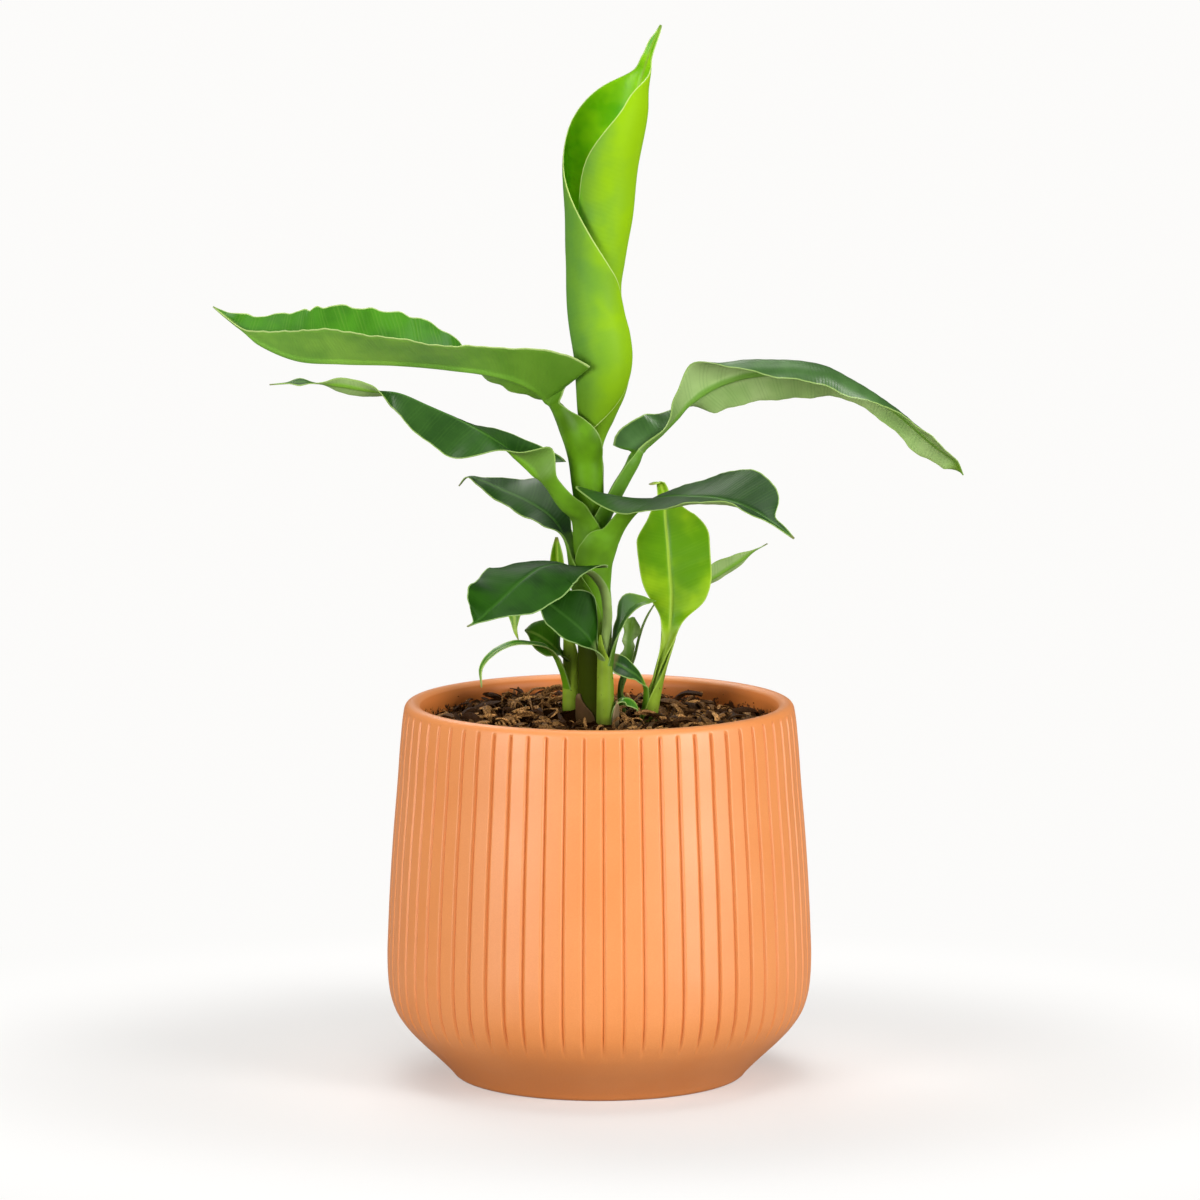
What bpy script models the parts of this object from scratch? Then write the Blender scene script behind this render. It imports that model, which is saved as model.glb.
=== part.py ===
"""Potted banana plant: a ribbed terracotta pot, potting soil with bark, and the plant with its suckers.

Metres, +Z up. The origin is the middle of the pot's flat foot, and the front is towards -Y.
Every leaf is one continuous sheet, as it grew: a sheath rolled round the stem, then a channelled
petiole, then the blade. The sheaths lie one inside another and make the stems.
"""
import math
import random
from collections import namedtuple

import bmesh
import bpy
from mathutils import Matrix, Vector

MM = 0.001

# Pot, in millimetres
RIBS = 66
RIB_TURN = -1.6
WALL = 8.5
FLOOR = 9.0
GROOVE_HALF_WIDTH = 1.1
GROOVE_DEPTH = 0.9
GROOVE_BOTTOM = 24.0
GROOVE_TOP = 171.0
FOOT_RADIUS = 67.0
OUTSIDE = [
    (88.6, 176.6), (90.6, 175.8), (91.7, 173.8), (91.95, GROOVE_TOP), (95.8, 132.0), (98.6, 90.0),
    (99.9, 55.0), (97.9, 35.5), (93.0, GROOVE_BOTTOM), (84.0, 16.0), (75.0, 7.4), (69.6, 1.8),
    (FOOT_RADIUS, 0.0)]
INSIDE = [
    (0.0, FLOOR), (62.0, FLOOR), (80.0, 20.0), (90.0, 38.0), (87.6, 125.0), (83.4, 171.0),
    (84.3, 174.6), (86.4, 176.3)]

# Soil, in millimetres
SOIL_GAP = 0.6
SOIL_TOP = 164.5
SOIL_SIDES = 36
SOIL_RINGS = [14.0, 30.0, 45.0, 59.0, 71.0]
CHIPS = 36
CHIP_SEED = 12
HOLE_FLOOR = 149.6
STEM_FOOT = 150.0

# Leaves, in millimetres
BROAD_WALL = 0.7
NARROW_WALL = 0.6
MIDRIB_WALL = 1.5
WAVE = 0.8
BROAD_COLUMNS = 6
NARROW_COLUMNS = 4
ROLLED_COLUMNS = 9
SPEAR_HEADING = 50

# Where each stem stands
MAIN = (-3.5, 9.0)
FRONT = (2.8, -5.0)
LEFT = (-13.0, 20.5)
RIGHT = (22.0, 11.5)
BACK = (11.0, 27.0)

# How wide the hole in the soil is for each stem
HOLES = [(MAIN, 12.0), (FRONT, 5.2), (LEFT, 4.5), (RIGHT, 3.8), (BACK, 2.4)]

# One cross-section of a leaf: the midrib's place, the turn about it, and for the left and right
# half, seen from base to tip, the width, the fold up from flat and the further curl, in degrees
Station = namedtuple(
    "Station", "x y z turn left right fold_left fold_right curl_left curl_right level")

LeafPlan = namedtuple("LeafPlan", "name heading columns wall colour stations")


def wrapped(stem, heading, z, radius, left, right, lean=0.0):
    """Level station of a sheath: an arc round the stem, its back towards the leaf's heading."""
    angle = math.radians(heading)
    return Station(stem[0] + lean + radius * math.cos(angle), stem[1] + radius * math.sin(angle), z, 0,
                   radius * math.radians(left), radius * math.radians(right), 0, 0, left, right, True)


def rolled(middle, z, outer, outer_turn, inner, inner_turn):
    """Level station of the rolled leaf: the left half winds round outside the right half."""
    angle = math.radians(SPEAR_HEADING)
    return Station(middle[0] + outer * math.cos(angle), middle[1] + outer * math.sin(angle), z, 0,
                   outer * math.radians(outer_turn), inner * math.radians(inner_turn), 0, 0,
                   outer_turn, inner_turn, True)


def sheath(stem, heading, rows):
    """Stations of a sheath, from (z, radius, left wrap, right wrap) rows and a lean along X."""
    return [wrapped(stem, heading, *row) for row in rows]


def blade(rows):
    """Stations of a petiole and blade, from rows in the order of Station."""
    return [Station(*row, False) for row in rows]


OLD_GREEN = (0.035, 0.13, 0.03)
MID_GREEN = (0.10, 0.27, 0.04)
YOUNG_GREEN = (0.22, 0.50, 0.02)
DRY_BROWN = (0.16, 0.09, 0.05)


def main_leaves():
    """The main plant's leaves, innermost first, and the dry sheath left at its foot."""
    return [
        LeafPlan("main_spear_leaf", SPEAR_HEADING, ROLLED_COLUMNS, BROAD_WALL, YOUNG_GREEN, sheath(MAIN, 50, [
            (STEM_FOOT, 2.7, 165, 165), (240, 2.6, 165, 165), (280, 3.4, 165, 165)]) + [
            rolled((-3.2, 8.9), 291, 3.8, 168, 3.2, 160),
            rolled((-2.8, 8.8), 297, 4.4, 178, 3.6, 160),
            rolled((-2.0, 8.6), 303, 6.0, 200, 4.8, 165),
            rolled((-1.2, 8.5), 307.5, 7.6, 228, 6.1, 168),
            rolled((-0.5, 8.5), 312, 9.0, 252, 7.2, 172),
            rolled((0.9, 8.5), 319, 10.9, 274, 8.8, 177),
            rolled((1.8, 8.5), 326.5, 12.2, 290, 9.8, 182),
            rolled((2.0, 8.5), 337.5, 13.2, 305, 10.4, 186),
            rolled((0.6, 8.5), 348, 13.5, 308, 10.6, 190),
            rolled((-1.4, 8.5), 359.5, 12.9, 302, 10.2, 195),
            rolled((-2.2, 8.5), 371, 12.6, 284, 10.4, 200),
            rolled((-1.5, 8.5), 381, 13.4, 248, 11.2, 200),
            rolled((-1.0, 8.5), 389, 14.2, 224, 12, 200),
            rolled((0.3, 8), 404, 15.7, 185, 13.2, 200),
            rolled((0.9, 7.5), 427, 17.5, 135, 15, 180),
            rolled((4.5, 7.5), 452, 19, 90, 15, 132),
            rolled((7, 7), 463.5, 18, 56, 11, 108),
            rolled((13, 11), 471, 12, 25, 8, 60)] + blade([
            (22.5, 18, 478, 0, 2, 2, 0, 0, 40, 40),
            (26, 16, 486.5, 0, 1.5, 1.5, 0, 0, 20, 20),
            (28.5, 15, 492, 0, 0.6, 0.6, 0, 0, 0, 0)])),
        LeafPlan("main_upper_left_leaf", 176, BROAD_COLUMNS, BROAD_WALL, MID_GREEN, sheath(MAIN, 176, [
            (STEM_FOOT, 4.1, 165, 165), (200, 4.0, 165, 165), (236, 4.2, 165, 165), (252, 5.3, 165, 165, -0.3),
            (264, 6.0, 165, 165, -0.9), (279, 7.0, 165, 165, -2.0), (289, 7.5, 165, 165, -2.8)]) + blade([
            (-15.5, 9, 296, 0, 23.5, 21, 0, 0, 130, 130),
            (-17.8, 9.5, 302.5, 0, 20.5, 16, 0, 0, 110, 100),
            (-20, 10.5, 308.5, 0, 14.5, 11, 0, 0, 88, 80),
            (-22.5, 11, 314, 0, 10.5, 8, 0, 0, 69, 60),
            (-26, 11, 318.5, 0, 28, 8, 58, 10, 5, 40),
            (-35, 12, 325, 0, 25, 9, 60, 15, -5, 10),
            (-49, 13, 329.5, 0, 23, 12, 48, -15, -10, 10),
            (-70, 15, 332.5, 5, 24, 20, 40, 26, -10, 10),
            (-95, 17, 334.5, 0, 26, 27, 32, 50, 0, 5),
            (-121, 19, 335, 0, 27, 28, 38, 58, 0, 5),
            (-142, 20, 336.5, 0, 22, 25, 42, 62, 0, 5),
            (-158, 22, 343, 0, 10, 17, 45, 65, 0, 5),
            (-168.5, 24, 350, 0, 2, 8, 20, 70, 0, 0),
            (-181, 26, 360, 0, 0.6, 0.6, 0, 0, 0, 0)])),
        LeafPlan("main_upper_right_leaf", 8, BROAD_COLUMNS, BROAD_WALL, OLD_GREEN, sheath(MAIN, 8, [
            (STEM_FOOT, 5.4, 165, 165), (200, 5.3, 165, 165), (236, 5.5, 150, 150), (244, 6.2, 110, 135),
            (252, 6.9, 80, 120), (261, 8.2, 60, 100)]) + blade([
            (9, 9, 270.5, 0, 9, 12, 0, 0, 65, 85),
            (14.5, 9, 281, 0, 8, 8, 0, 0, 80, 80),
            (23, 10, 293.5, 0, 7, 6, 20, 10, 60, 60),
            (29.5, 10, 300, -10, 15, 5, 80, 20, 10, 0),
            (34.5, 11, 307, 10, 10, 6, 60, 35, 10, -10),
            (41.5, 11, 315.5, 35, 6, 11, 10, 32, 0, -20),
            (49.5, 12, 321.5, 40, 15, 18, -20, 42, 0, -40),
            (63.5, 13, 327.5, 40, 16, 22, -20, 40, 0, -110),
            (82, 15, 330, 40, 17, 22, -15, 33, 0, -130),
            (101, 17, 328.5, 40, 14, 21, -15, 28, 0, -130),
            (117.5, 19, 323.5, 30, 8, 17, -20, 10, 0, -100),
            (136.5, 21, 313.5, 20, 6, 11, -40, 0, 0, -60),
            (155.5, 23, 297, 15, 6, 8, -40, 0, 0, -40),
            (168, 24, 286.5, 0, 3, 3, -20, 0, 0, 0),
            (171.5, 25, 279.5, 0, 0.6, 0.6, 0, 0, 0, 0)])),
        LeafPlan("main_lower_left_leaf", 192, BROAD_COLUMNS, BROAD_WALL, OLD_GREEN, sheath(MAIN, 192, [
            (STEM_FOOT, 6.7, 165, 165), (200, 6.6, 165, 165), (236, 6.8, 160, 150), (244, 7.6, 140, 125),
            (252, 8.1, 120, 100), (262, 9.4, 90, 75)]) + blade([
            (-17.5, 4, 267, 0, 13, 11, 0, 0, 90, 65),
            (-25.5, 0, 279, 0, 9, 9, 10, 10, 70, 50),
            (-32.5, -3, 287, 5, 14, 17, 80, 60, 0, 0),
            (-42.5, -7, 296.5, 15, 6, 14, 20, 15, -10, 0),
            (-62, -12, 309.5, 30, 18, 9, -60, -25, -10, -10),
            (-79.5, -14, 318, 35, 21, 10, -62, -50, -5, -10),
            (-94, -15, 324, 30, 9, 8, -48, -45, 0, -10),
            (-105.5, -16, 327, 5, 5, 7, -40, -50, 0, 0),
            (-120, -17, 329, -10, 6, 6, -50, -50, 0, 0),
            (-131.5, -18, 328.5, 0, 1.5, 1.5, 0, 0, 0, 0),
            (-138.5, -18, 329, 0, 3, 3, -30, 30, 0, 0),
            (-145.5, -19, 328.5, 0, 1.5, 1.2, 0, 0, 0, 0),
            (-152.5, -20, 328, 0, 0.6, 0.6, 0, 0, 0, 0)])),
        LeafPlan("main_front_right_leaf", -48, BROAD_COLUMNS, BROAD_WALL, OLD_GREEN, sheath(MAIN, -48, [
            (STEM_FOOT, 8.0, 165, 165), (200, 7.9, 160, 160), (228, 8.1, 140, 140), (234.5, 8.5, 115, 120),
            (241, 9.2, 90, 100)]) + blade([
            (4.5, 1.5, 246.5, 0, 11, 15, 0, 0, 70, 80),
            (6, 0.5, 251, 0, 9.5, 13, 0, 0, 65, 75),
            (8, 0.5, 255, 0, 8, 8, 0, 0, 60, 60),
            (13, -3, 263, 0, 7, 7, 0, 0, 50, 50),
            (20.5, -11, 269, 0, 8, 18, 10, 25, 30, 0),
            (31, -26, 273, 0, 11, 29, 26, 12, 0, 0),
            (42.5, -42, 275.5, 0, 19, 24, 34, 4, 0, 0),
            (56, -56, 277, 0, 21, 20, 40, 6, 0, 0),
            (68.5, -68, 275, 0, 16, 12, 38, 12, 0, 0),
            (77.5, -76, 271.5, 0, 6, 5, 20, 10, 0, 0),
            (88.5, -82, 264, 0, 0.6, 0.6, 0, 0, 0, 0)])),
        LeafPlan("main_back_left_leaf", 160, BROAD_COLUMNS, BROAD_WALL, OLD_GREEN, sheath(MAIN, 160, [
            (STEM_FOOT, 9.3, 160, 160), (200, 9.2, 150, 150), (228, 9.5, 110, 130), (235, 10.0, 85, 105),
            (242, 10.6, 60, 80)]) + blade([
            (-15.5, 17, 250.5, 0, 5, 6, 0, 0, 40, 50),
            (-21.5, 21, 260, 10, 9, 11, -10, 20, 0, 0),
            (-32.5, 26, 267.5, 15, 9, 21, -20, 15, -10, 0),
            (-45.5, 31, 273, 15, 7, 15, -25, 0, -10, 0),
            (-55.5, 34, 277, 10, 4, 4, -30, 0, 0, 0),
            (-62.5, 36, 278.5, 0, 2, 2, 0, 0, 0, 0),
            (-66.5, 37, 274, 0, 0.6, 0.6, 0, 0, 0, 0)])),
        LeafPlan("main_dry_sheath", 215, NARROW_COLUMNS, BROAD_WALL, DRY_BROWN, sheath(MAIN, 215, [
            (STEM_FOOT, 10.6, 55, 55), (168, 10.6, 55, 50), (176, 10.6, 40, 30), (184, 10.6, 10, 12)])),
    ]


def front_sucker_leaves():
    """The sucker in front of the main stem, and a leaf of it that was cut back."""
    return [
        LeafPlan("front_sucker_broad_leaf", 235, BROAD_COLUMNS, NARROW_WALL, OLD_GREEN, sheath(FRONT, 235, [
            (STEM_FOOT, 0.9, 155, 155), (190, 0.9, 155, 155), (206, 1.3, 130, 130)]) + blade([
            (0, -7, 222, 0, 3.5, 3.5, 0, 0, 90, 90),
            (-5.5, -8, 236, 0, 4, 4, 0, 0, 70, 70),
            (-14.5, -10, 242.5, 0, 18, 8, 10, 10, 0, 0),
            (-25, -17, 242.5, 0, 27, 16, 0, 5, -10, -20),
            (-35, -29, 238.5, 0, 24, 21, -8, 5, -10, -20),
            (-44.5, -40, 231, 0, 17, 20, -12, 0, -10, -20),
            (-51.5, -48, 225, 0, 8, 12, -15, -10, 0, 0),
            (-56, -52, 221.5, 0, 1.5, 2, -15, -20, 0, 0),
            (-60.5, -56, 220, 0, 0.6, 0.6, 0, 0, 0, 0)])),
        LeafPlan("front_sucker_low_leaf", 190, BROAD_COLUMNS, NARROW_WALL, OLD_GREEN, sheath(FRONT, 190, [
            (STEM_FOOT, 1.9, 150, 150), (186, 1.9, 140, 140), (195, 2.2, 100, 100)]) + blade([
            (-2, -8, 203, 20, 5, 4, 0, 0, 40, 40),
            (-6, -9.5, 209.5, 50, 7, 10, -20, 10, 0, 0),
            (-12, -10.5, 215.5, 58, 9, 17, -20, 10, 0, 0),
            (-19, -10.5, 221, 58, 9, 13, -20, 10, 0, 0),
            (-24.5, -10, 225.5, 50, 5, 6, -20, 10, 0, 0),
            (-28.5, -9, 229, 50, 0.6, 0.6, 0, 0, 0, 0)])),
        LeafPlan("front_sucker_right_leaf", 10, NARROW_COLUMNS, NARROW_WALL, OLD_GREEN, sheath(FRONT, 10, [
            (STEM_FOOT, 2.9, 130, 130), (186, 2.9, 120, 120), (193, 3.1, 90, 90)]) + blade([
            (7.5, -4, 204, 0, 4, 4, 0, 0, 50, 50),
            (10.5, -3, 214.5, -20, 5, 4, 30, 10, 0, 0),
            (15, -2, 221.5, -20, 7, 3, 50, -20, 0, 0),
            (21, 0, 224, 0, 3.5, 3, 40, -20, 0, 0),
            (26.5, 2, 224, 0, 0.6, 0.6, 0, 0, 0, 0)])),
        LeafPlan("front_sucker_stub", 5, NARROW_COLUMNS, NARROW_WALL, MID_GREEN, sheath(FRONT, 5, [
            (STEM_FOOT, 3.9, 60, 60), (170, 3.9, 55, 55)]) + blade([
            (8.5, -4, 176, 0, 2, 2, 0, 0, 20, 20),
            (11.5, -2, 177.5, 0, 1.5, 3, 0, -40, 0, -20),
            (15, 0, 173.5, 0, 0.6, 0.6, 0, 0, 0, 0)])),
    ]


def left_sucker_leaves():
    """The sucker behind and to the left of the main stem."""
    return [
        LeafPlan("left_sucker_spear_leaf", 100, NARROW_COLUMNS, NARROW_WALL, YOUNG_GREEN, sheath(LEFT, 100, [
            (STEM_FOOT, 0.3, 150, 150), (200, 0.3, 150, 150)]) + blade([
            (-13.4, 21.5, 214, 0, 1.6, 1.6, 0, 0, 100, 100),
            (-16, 21, 227, 0, 2, 2, 0, 0, 60, 60),
            (-19.5, 20, 237.5, 0, 3.8, 3.2, 15, 15, 0, 0),
            (-20, 20.5, 244, 0, 2.9, 2.6, 15, 15, 0, 0),
            (-20, 21, 251.5, 0, 0.6, 0.6, 0, 0, 0, 0)])),
        LeafPlan("left_sucker_hanging_leaf", 180, NARROW_COLUMNS, NARROW_WALL, YOUNG_GREEN, sheath(LEFT, 180, [
            (STEM_FOOT, 1.3, 150, 150), (197, 1.3, 140, 140)]) + blade([
            (-16.3, 20, 207, 0, 2.6, 2.6, 0, 0, 90, 90),
            (-20.5, 19, 219, 0, 3, 3, 0, 0, 40, 40),
            (-28, 17, 230, 0, 6, 6, 10, 10, 0, 0),
            (-36.5, 13, 226.5, 10, 7, 7, 0, 0, -20, -20),
            (-40, 10, 218.5, 20, 5, 5, -10, -10, -20, -20),
            (-39.5, 8, 212, 0, 1, 1, 0, 0, 0, 0),
            (-38, 7, 204, 0, 0.6, 0.6, 0, 0, 0, 0)])),
        LeafPlan("left_sucker_short_leaf", 188, NARROW_COLUMNS, NARROW_WALL, OLD_GREEN, sheath(LEFT, 188, [
            (STEM_FOOT, 2.3, 150, 150), (184, 2.3, 140, 140), (192, 2.6, 90, 90)]) + blade([
            (-19, 18, 200.5, 10, 4, 4, 0, 0, 20, 20),
            (-23, 16, 207, 30, 5, 8, -20, 10, 0, 0),
            (-28.5, 14, 212.5, 30, 4, 8, -20, 20, 0, 0),
            (-33, 12, 212, 20, 2, 3, -20, 10, 0, 0),
            (-35, 11, 208.5, 0, 0.6, 0.6, 0, 0, 0, 0)])),
        LeafPlan("left_sucker_arching_leaf", 200, NARROW_COLUMNS, NARROW_WALL, OLD_GREEN, sheath(LEFT, 200, [
            (STEM_FOOT, 3.3, 140, 140), (170, 3.3, 110, 110), (179, 3.5, 70, 70)]) + blade([
            (-19, 14, 191, 0, 2.5, 2.5, 0, 0, 50, 50),
            (-23, 9, 199.5, 5, 3, 3, 10, 10, 0, 0),
            (-31, 2, 203.5, 10, 3, 3, 10, 10, 0, 0),
            (-41, -7, 204.5, 10, 3, 3, 10, 10, 0, 0),
            (-50, -15, 201, 10, 2.6, 2.6, 10, 10, 0, 0),
            (-55, -20, 194.5, 0, 2, 2, 10, 10, 0, 0),
            (-55, -22, 186.5, 0, 0.6, 0.6, 0, 0, 0, 0)])),
    ]


def right_sucker_leaves():
    """The sucker on the right, which leans out, with its broad upright leaf."""
    return [
        LeafPlan("right_sucker_spade_leaf", 80, BROAD_COLUMNS, NARROW_WALL, YOUNG_GREEN, sheath(RIGHT, 80, [
            (STEM_FOOT, 0.6, 155, 155), (162, 0.6, 155, 155), (175, 0.7, 155, 155, 2.0),
            (189.5, 1.0, 150, 150, 5.5)]) + blade([
            (32.5, 14, 204.5, 0, 3.5, 3.5, 0, 0, 60, 60),
            (33.5, 14, 214, 0, 5, 7, 25, 20, -10, -10),
            (34, 15, 222.5, 0, 10, 16, 22, 15, -10, -10),
            (33, 16, 236.5, 0, 14, 20, 20, 15, -10, -10),
            (32, 17, 250.5, 0, 14.5, 20, 20, 12, -10, -10),
            (31, 18, 262, 0, 8, 14, 20, 12, -10, -10),
            (30.5, 18, 270.5, 0, 3.5, 4, 20, 10, 0, 0),
            (28, 17, 277.5, 0, 2, 2, 0, 0, 0, 0),
            (23.5, 15, 277, 0, 0.6, 0.6, 0, 0, 0, 0)])),
        LeafPlan("right_sucker_narrow_leaf", 25, NARROW_COLUMNS, NARROW_WALL, OLD_GREEN, sheath(RIGHT, 25, [
            (STEM_FOOT, 1.6, 150, 150), (162, 1.6, 150, 150), (175, 1.7, 140, 140, 2.0),
            (183, 1.9, 100, 100, 4.0)]) + blade([
            (34.5, 18, 198, 0, 3, 3, 0, 0, 50, 50),
            (42, 23, 215.5, 0, 2.5, 2.5, 0, 0, 40, 40),
            (49, 26, 228, 30, 4, 5, 0, 10, 0, 0),
            (57, 29, 233.5, 50, 5, 7, 0, 20, 0, 0),
            (65.5, 32, 238.5, 50, 4, 5, 0, 20, 0, 0),
            (72.5, 35, 243, 40, 1.5, 1.5, 0, 0, 0, 0),
            (79.5, 37, 246.5, 0, 0.6, 0.6, 0, 0, 0, 0)])),
        LeafPlan("right_sucker_low_leaf", 190, NARROW_COLUMNS, NARROW_WALL, OLD_GREEN, sheath(RIGHT, 190, [
            (STEM_FOOT, 2.6, 110, 110), (162, 2.6, 100, 100), (171, 2.7, 80, 80, 1.2)]) + blade([
            (20.5, 8, 182, 0, 4, 4, 0, 0, 60, 60),
            (18, 5, 189, 15, 3, 5, -20, 5, 0, 0),
            (13, 2, 193.5, 25, 5, 5, -30, 5, 0, 0),
            (9.5, 1, 195, 25, 3.5, 4, -30, 5, 0, 0),
            (6, 1, 195.5, 0, 0.6, 0.6, 0, 0, 0, 0)])),
    ]


def back_sucker_leaves():
    """The thin sucker at the back, with a ragged leaf and a bare stalk."""
    return [
        LeafPlan("back_sucker_stalk", 20, NARROW_COLUMNS, NARROW_WALL, MID_GREEN, sheath(BACK, 20, [
            (STEM_FOOT, 0.3, 150, 150), (180, 0.3, 150, 150)]) + blade([
            (16.5, 28, 193, 0, 1, 1, 0, 0, 60, 60),
            (19, 28, 203.5, 0, 1, 1, 0, 0, 40, 40),
            (22.5, 29, 213, 0, 1, 1, 0, 0, 0, 0),
            (26.5, 30, 219.5, 0, 0.6, 0.6, 0, 0, 0, 0)])),
        LeafPlan("back_sucker_ragged_leaf", 170, NARROW_COLUMNS, NARROW_WALL, MID_GREEN, sheath(BACK, 170, [
            (STEM_FOOT, 1.3, 120, 120), (172, 1.3, 90, 90), (175, 1.4, 50, 50)]) + blade([
            (9, 26, 180, 0, 1.5, 1.5, 0, 0, 30, 30),
            (10.3, 24, 187, 0, 1.8, 1.8, 0, 0, 50, 50),
            (13, 24, 195, 20, 3, 3, 0, 10, 0, 0),
            (14.5, 24, 203.5, 30, 3, 3.5, 0, 0, 0, 0),
            (15, 25, 209, 20, 3, 3, 0, 0, 0, 0),
            (13, 26, 212, 0, 0.6, 0.6, 0, 0, 0, 0)])),
    ]


def new_collection(name):
    """A collection in the scene."""
    collection = bpy.data.collections.new(name)
    bpy.context.scene.collection.children.link(collection)
    return collection


def new_material(name, colour, roughness):
    """A plain Principled material."""
    material = bpy.data.materials.new(name)
    material.use_nodes = True
    shader = material.node_tree.nodes["Principled BSDF"]
    shader.inputs["Base Color"].default_value = (*colour, 1.0)
    shader.inputs["Roughness"].default_value = roughness
    shader.inputs["Metallic"].default_value = 0.0
    material.diffuse_color = (*colour, 1.0)
    return material


def new_object(name, mesh, collection, material=None):
    """An object for a mesh, in a collection."""
    item = bpy.data.objects.new(name, mesh)
    collection.objects.link(item)
    if material:
        mesh.materials.append(material)
    return item


def mesh_of(name, bm):
    """A mesh from a bmesh, which is freed."""
    mesh = bpy.data.meshes.new(name)
    bm.to_mesh(mesh)
    bm.free()
    return mesh


def evaluated_copy(item, name):
    """The item's mesh with its modifiers applied, as a new mesh."""
    graph = bpy.context.evaluated_depsgraph_get()
    graph.update()
    mesh = bpy.data.meshes.new_from_object(item.evaluated_get(graph))
    mesh.name = name
    return mesh


def turned(name, profile, sides, turn, collection):
    """A mesh turned about Z from (radius, z) points, which run down the outer side."""
    bm = bmesh.new()
    corners = [bm.verts.new((radius * MM, 0.0, z * MM)) for radius, z in profile]
    for upper, lower in zip(corners, corners[1:]):
        bm.edges.new((upper, lower))
    item = new_object(name, mesh_of(name, bm), collection)
    screw = item.modifiers.new("turn", "SCREW")
    screw.axis = "Z"
    screw.steps = sides
    screw.render_steps = sides
    screw.use_merge_vertices = True
    screw.merge_threshold = 0.00001
    screw.use_smooth_shade = False
    mesh = evaluated_copy(item, name)
    bpy.data.objects.remove(item)
    mesh.transform(Matrix.Rotation(math.radians(turn), 4, "Z"))
    return mesh


def combine(item, others, operation):
    """Apply one Boolean of a collection to an item and remove the collection's objects."""
    modifier = item.modifiers.new("combine", "BOOLEAN")
    modifier.operation = operation
    modifier.operand_type = "COLLECTION"
    modifier.collection = others
    modifier.solver = "EXACT"
    mesh = evaluated_copy(item, item.name)
    item.modifiers.clear()
    item.data = mesh
    for other in list(others.objects):
        bpy.data.objects.remove(other)
    bpy.data.collections.remove(others)


def make_pot(collection):
    """The pot: a turned body whose corners between ribs are bevelled and pressed in as grooves."""
    profile = INSIDE + OUTSIDE + [(0.0, 0.0)]
    mesh = turned("pot", profile, RIBS, RIB_TURN, collection)
    bm = bmesh.new()
    bm.from_mesh(mesh)
    outer_levels = {round(z, 3) for _, z in OUTSIDE if GROOVE_BOTTOM <= z <= GROOVE_TOP}

    def outside_level(vert):
        """The height of an outer corner in the grooved zone, or None."""
        z = round(vert.co.z / MM, 3)
        radius = math.hypot(vert.co.x, vert.co.y) / MM
        return z if z in outer_levels and radius > 91.85 else None

    uprights = []
    for edge in bm.edges:
        levels = [outside_level(vert) for vert in edge.verts]
        if None not in levels and levels[0] != levels[1]:
            uprights.append(edge)
    grooves = bmesh.ops.bevel(
        bm, geom=uprights, offset=GROOVE_HALF_WIDTH * MM, offset_type="WIDTH", segments=2, profile=0.5,
        affect="EDGES", clamp_overlap=True)
    step = math.tau / RIBS
    for vert in grooves["verts"]:
        angle = math.atan2(vert.co.y, vert.co.x) - math.radians(RIB_TURN)
        off_line = abs((angle + step / 2) % step - step / 2)
        z = vert.co.z / MM
        if off_line < 0.0005 and GROOVE_BOTTOM + 0.5 < z < GROOVE_TOP - 0.5:
            radius = math.hypot(vert.co.x, vert.co.y)
            shrink = 1.0 - GROOVE_DEPTH * MM / radius
            vert.co.x *= shrink
            vert.co.y *= shrink
    bmesh.ops.triangulate(bm, faces=[face for face in bm.faces if len(face.verts) > 4])
    bm.to_mesh(mesh)
    bm.free()
    return new_object("pot", mesh, collection, new_material("terracotta", (0.82, 0.33, 0.14), 0.72))


def soil_height(x, y):
    """Height of the soil's surface: a low mound at the back left, and small lumps."""
    mound = 4.0 * math.exp(-((x + 32) ** 2 + (y - 40) ** 2) / 900.0)
    lumps = 0.8 * math.sin(x * 0.23 + 1.0) * math.cos(y * 0.19) + 0.6 * math.sin(x * 0.11 - y * 0.27)
    return SOIL_TOP + mound + lumps


def bark_chip(dice, index):
    """One shred of bark, lying in the surface clear of the holes and of the pot's wall."""
    length = dice.uniform(7, 17)
    width = dice.uniform(2.5, 5)
    clear = False
    while not clear:
        radius = (81.0 - length / 2) * math.sqrt(dice.random())
        angle = dice.uniform(0, math.tau)
        x, y = radius * math.cos(angle), radius * math.sin(angle)
        clear = all(math.hypot(x - hole[0], y - hole[1]) > size + length / 2 + 1 for hole, size in HOLES)
    bm = bmesh.new()
    bmesh.ops.create_cube(bm, size=1.0)
    bmesh.ops.scale(bm, vec=(length * MM, width * MM, 2.2 * MM), verts=bm.verts)
    for vert in bm.verts:
        if vert.co.x > 0:
            vert.co.y *= 0.6
    place = (Matrix.Translation(Vector((x, y, soil_height(x, y) + 0.3)) * MM)
             @ Matrix.Rotation(dice.uniform(0, math.tau), 4, "Z")
             @ Matrix.Rotation(dice.uniform(-0.3, 0.3), 4, "Y")
             @ Matrix.Rotation(dice.uniform(-0.4, 0.4), 4, "X"))
    bm.transform(place)
    return mesh_of(f"chip_{index}", bm)


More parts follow.
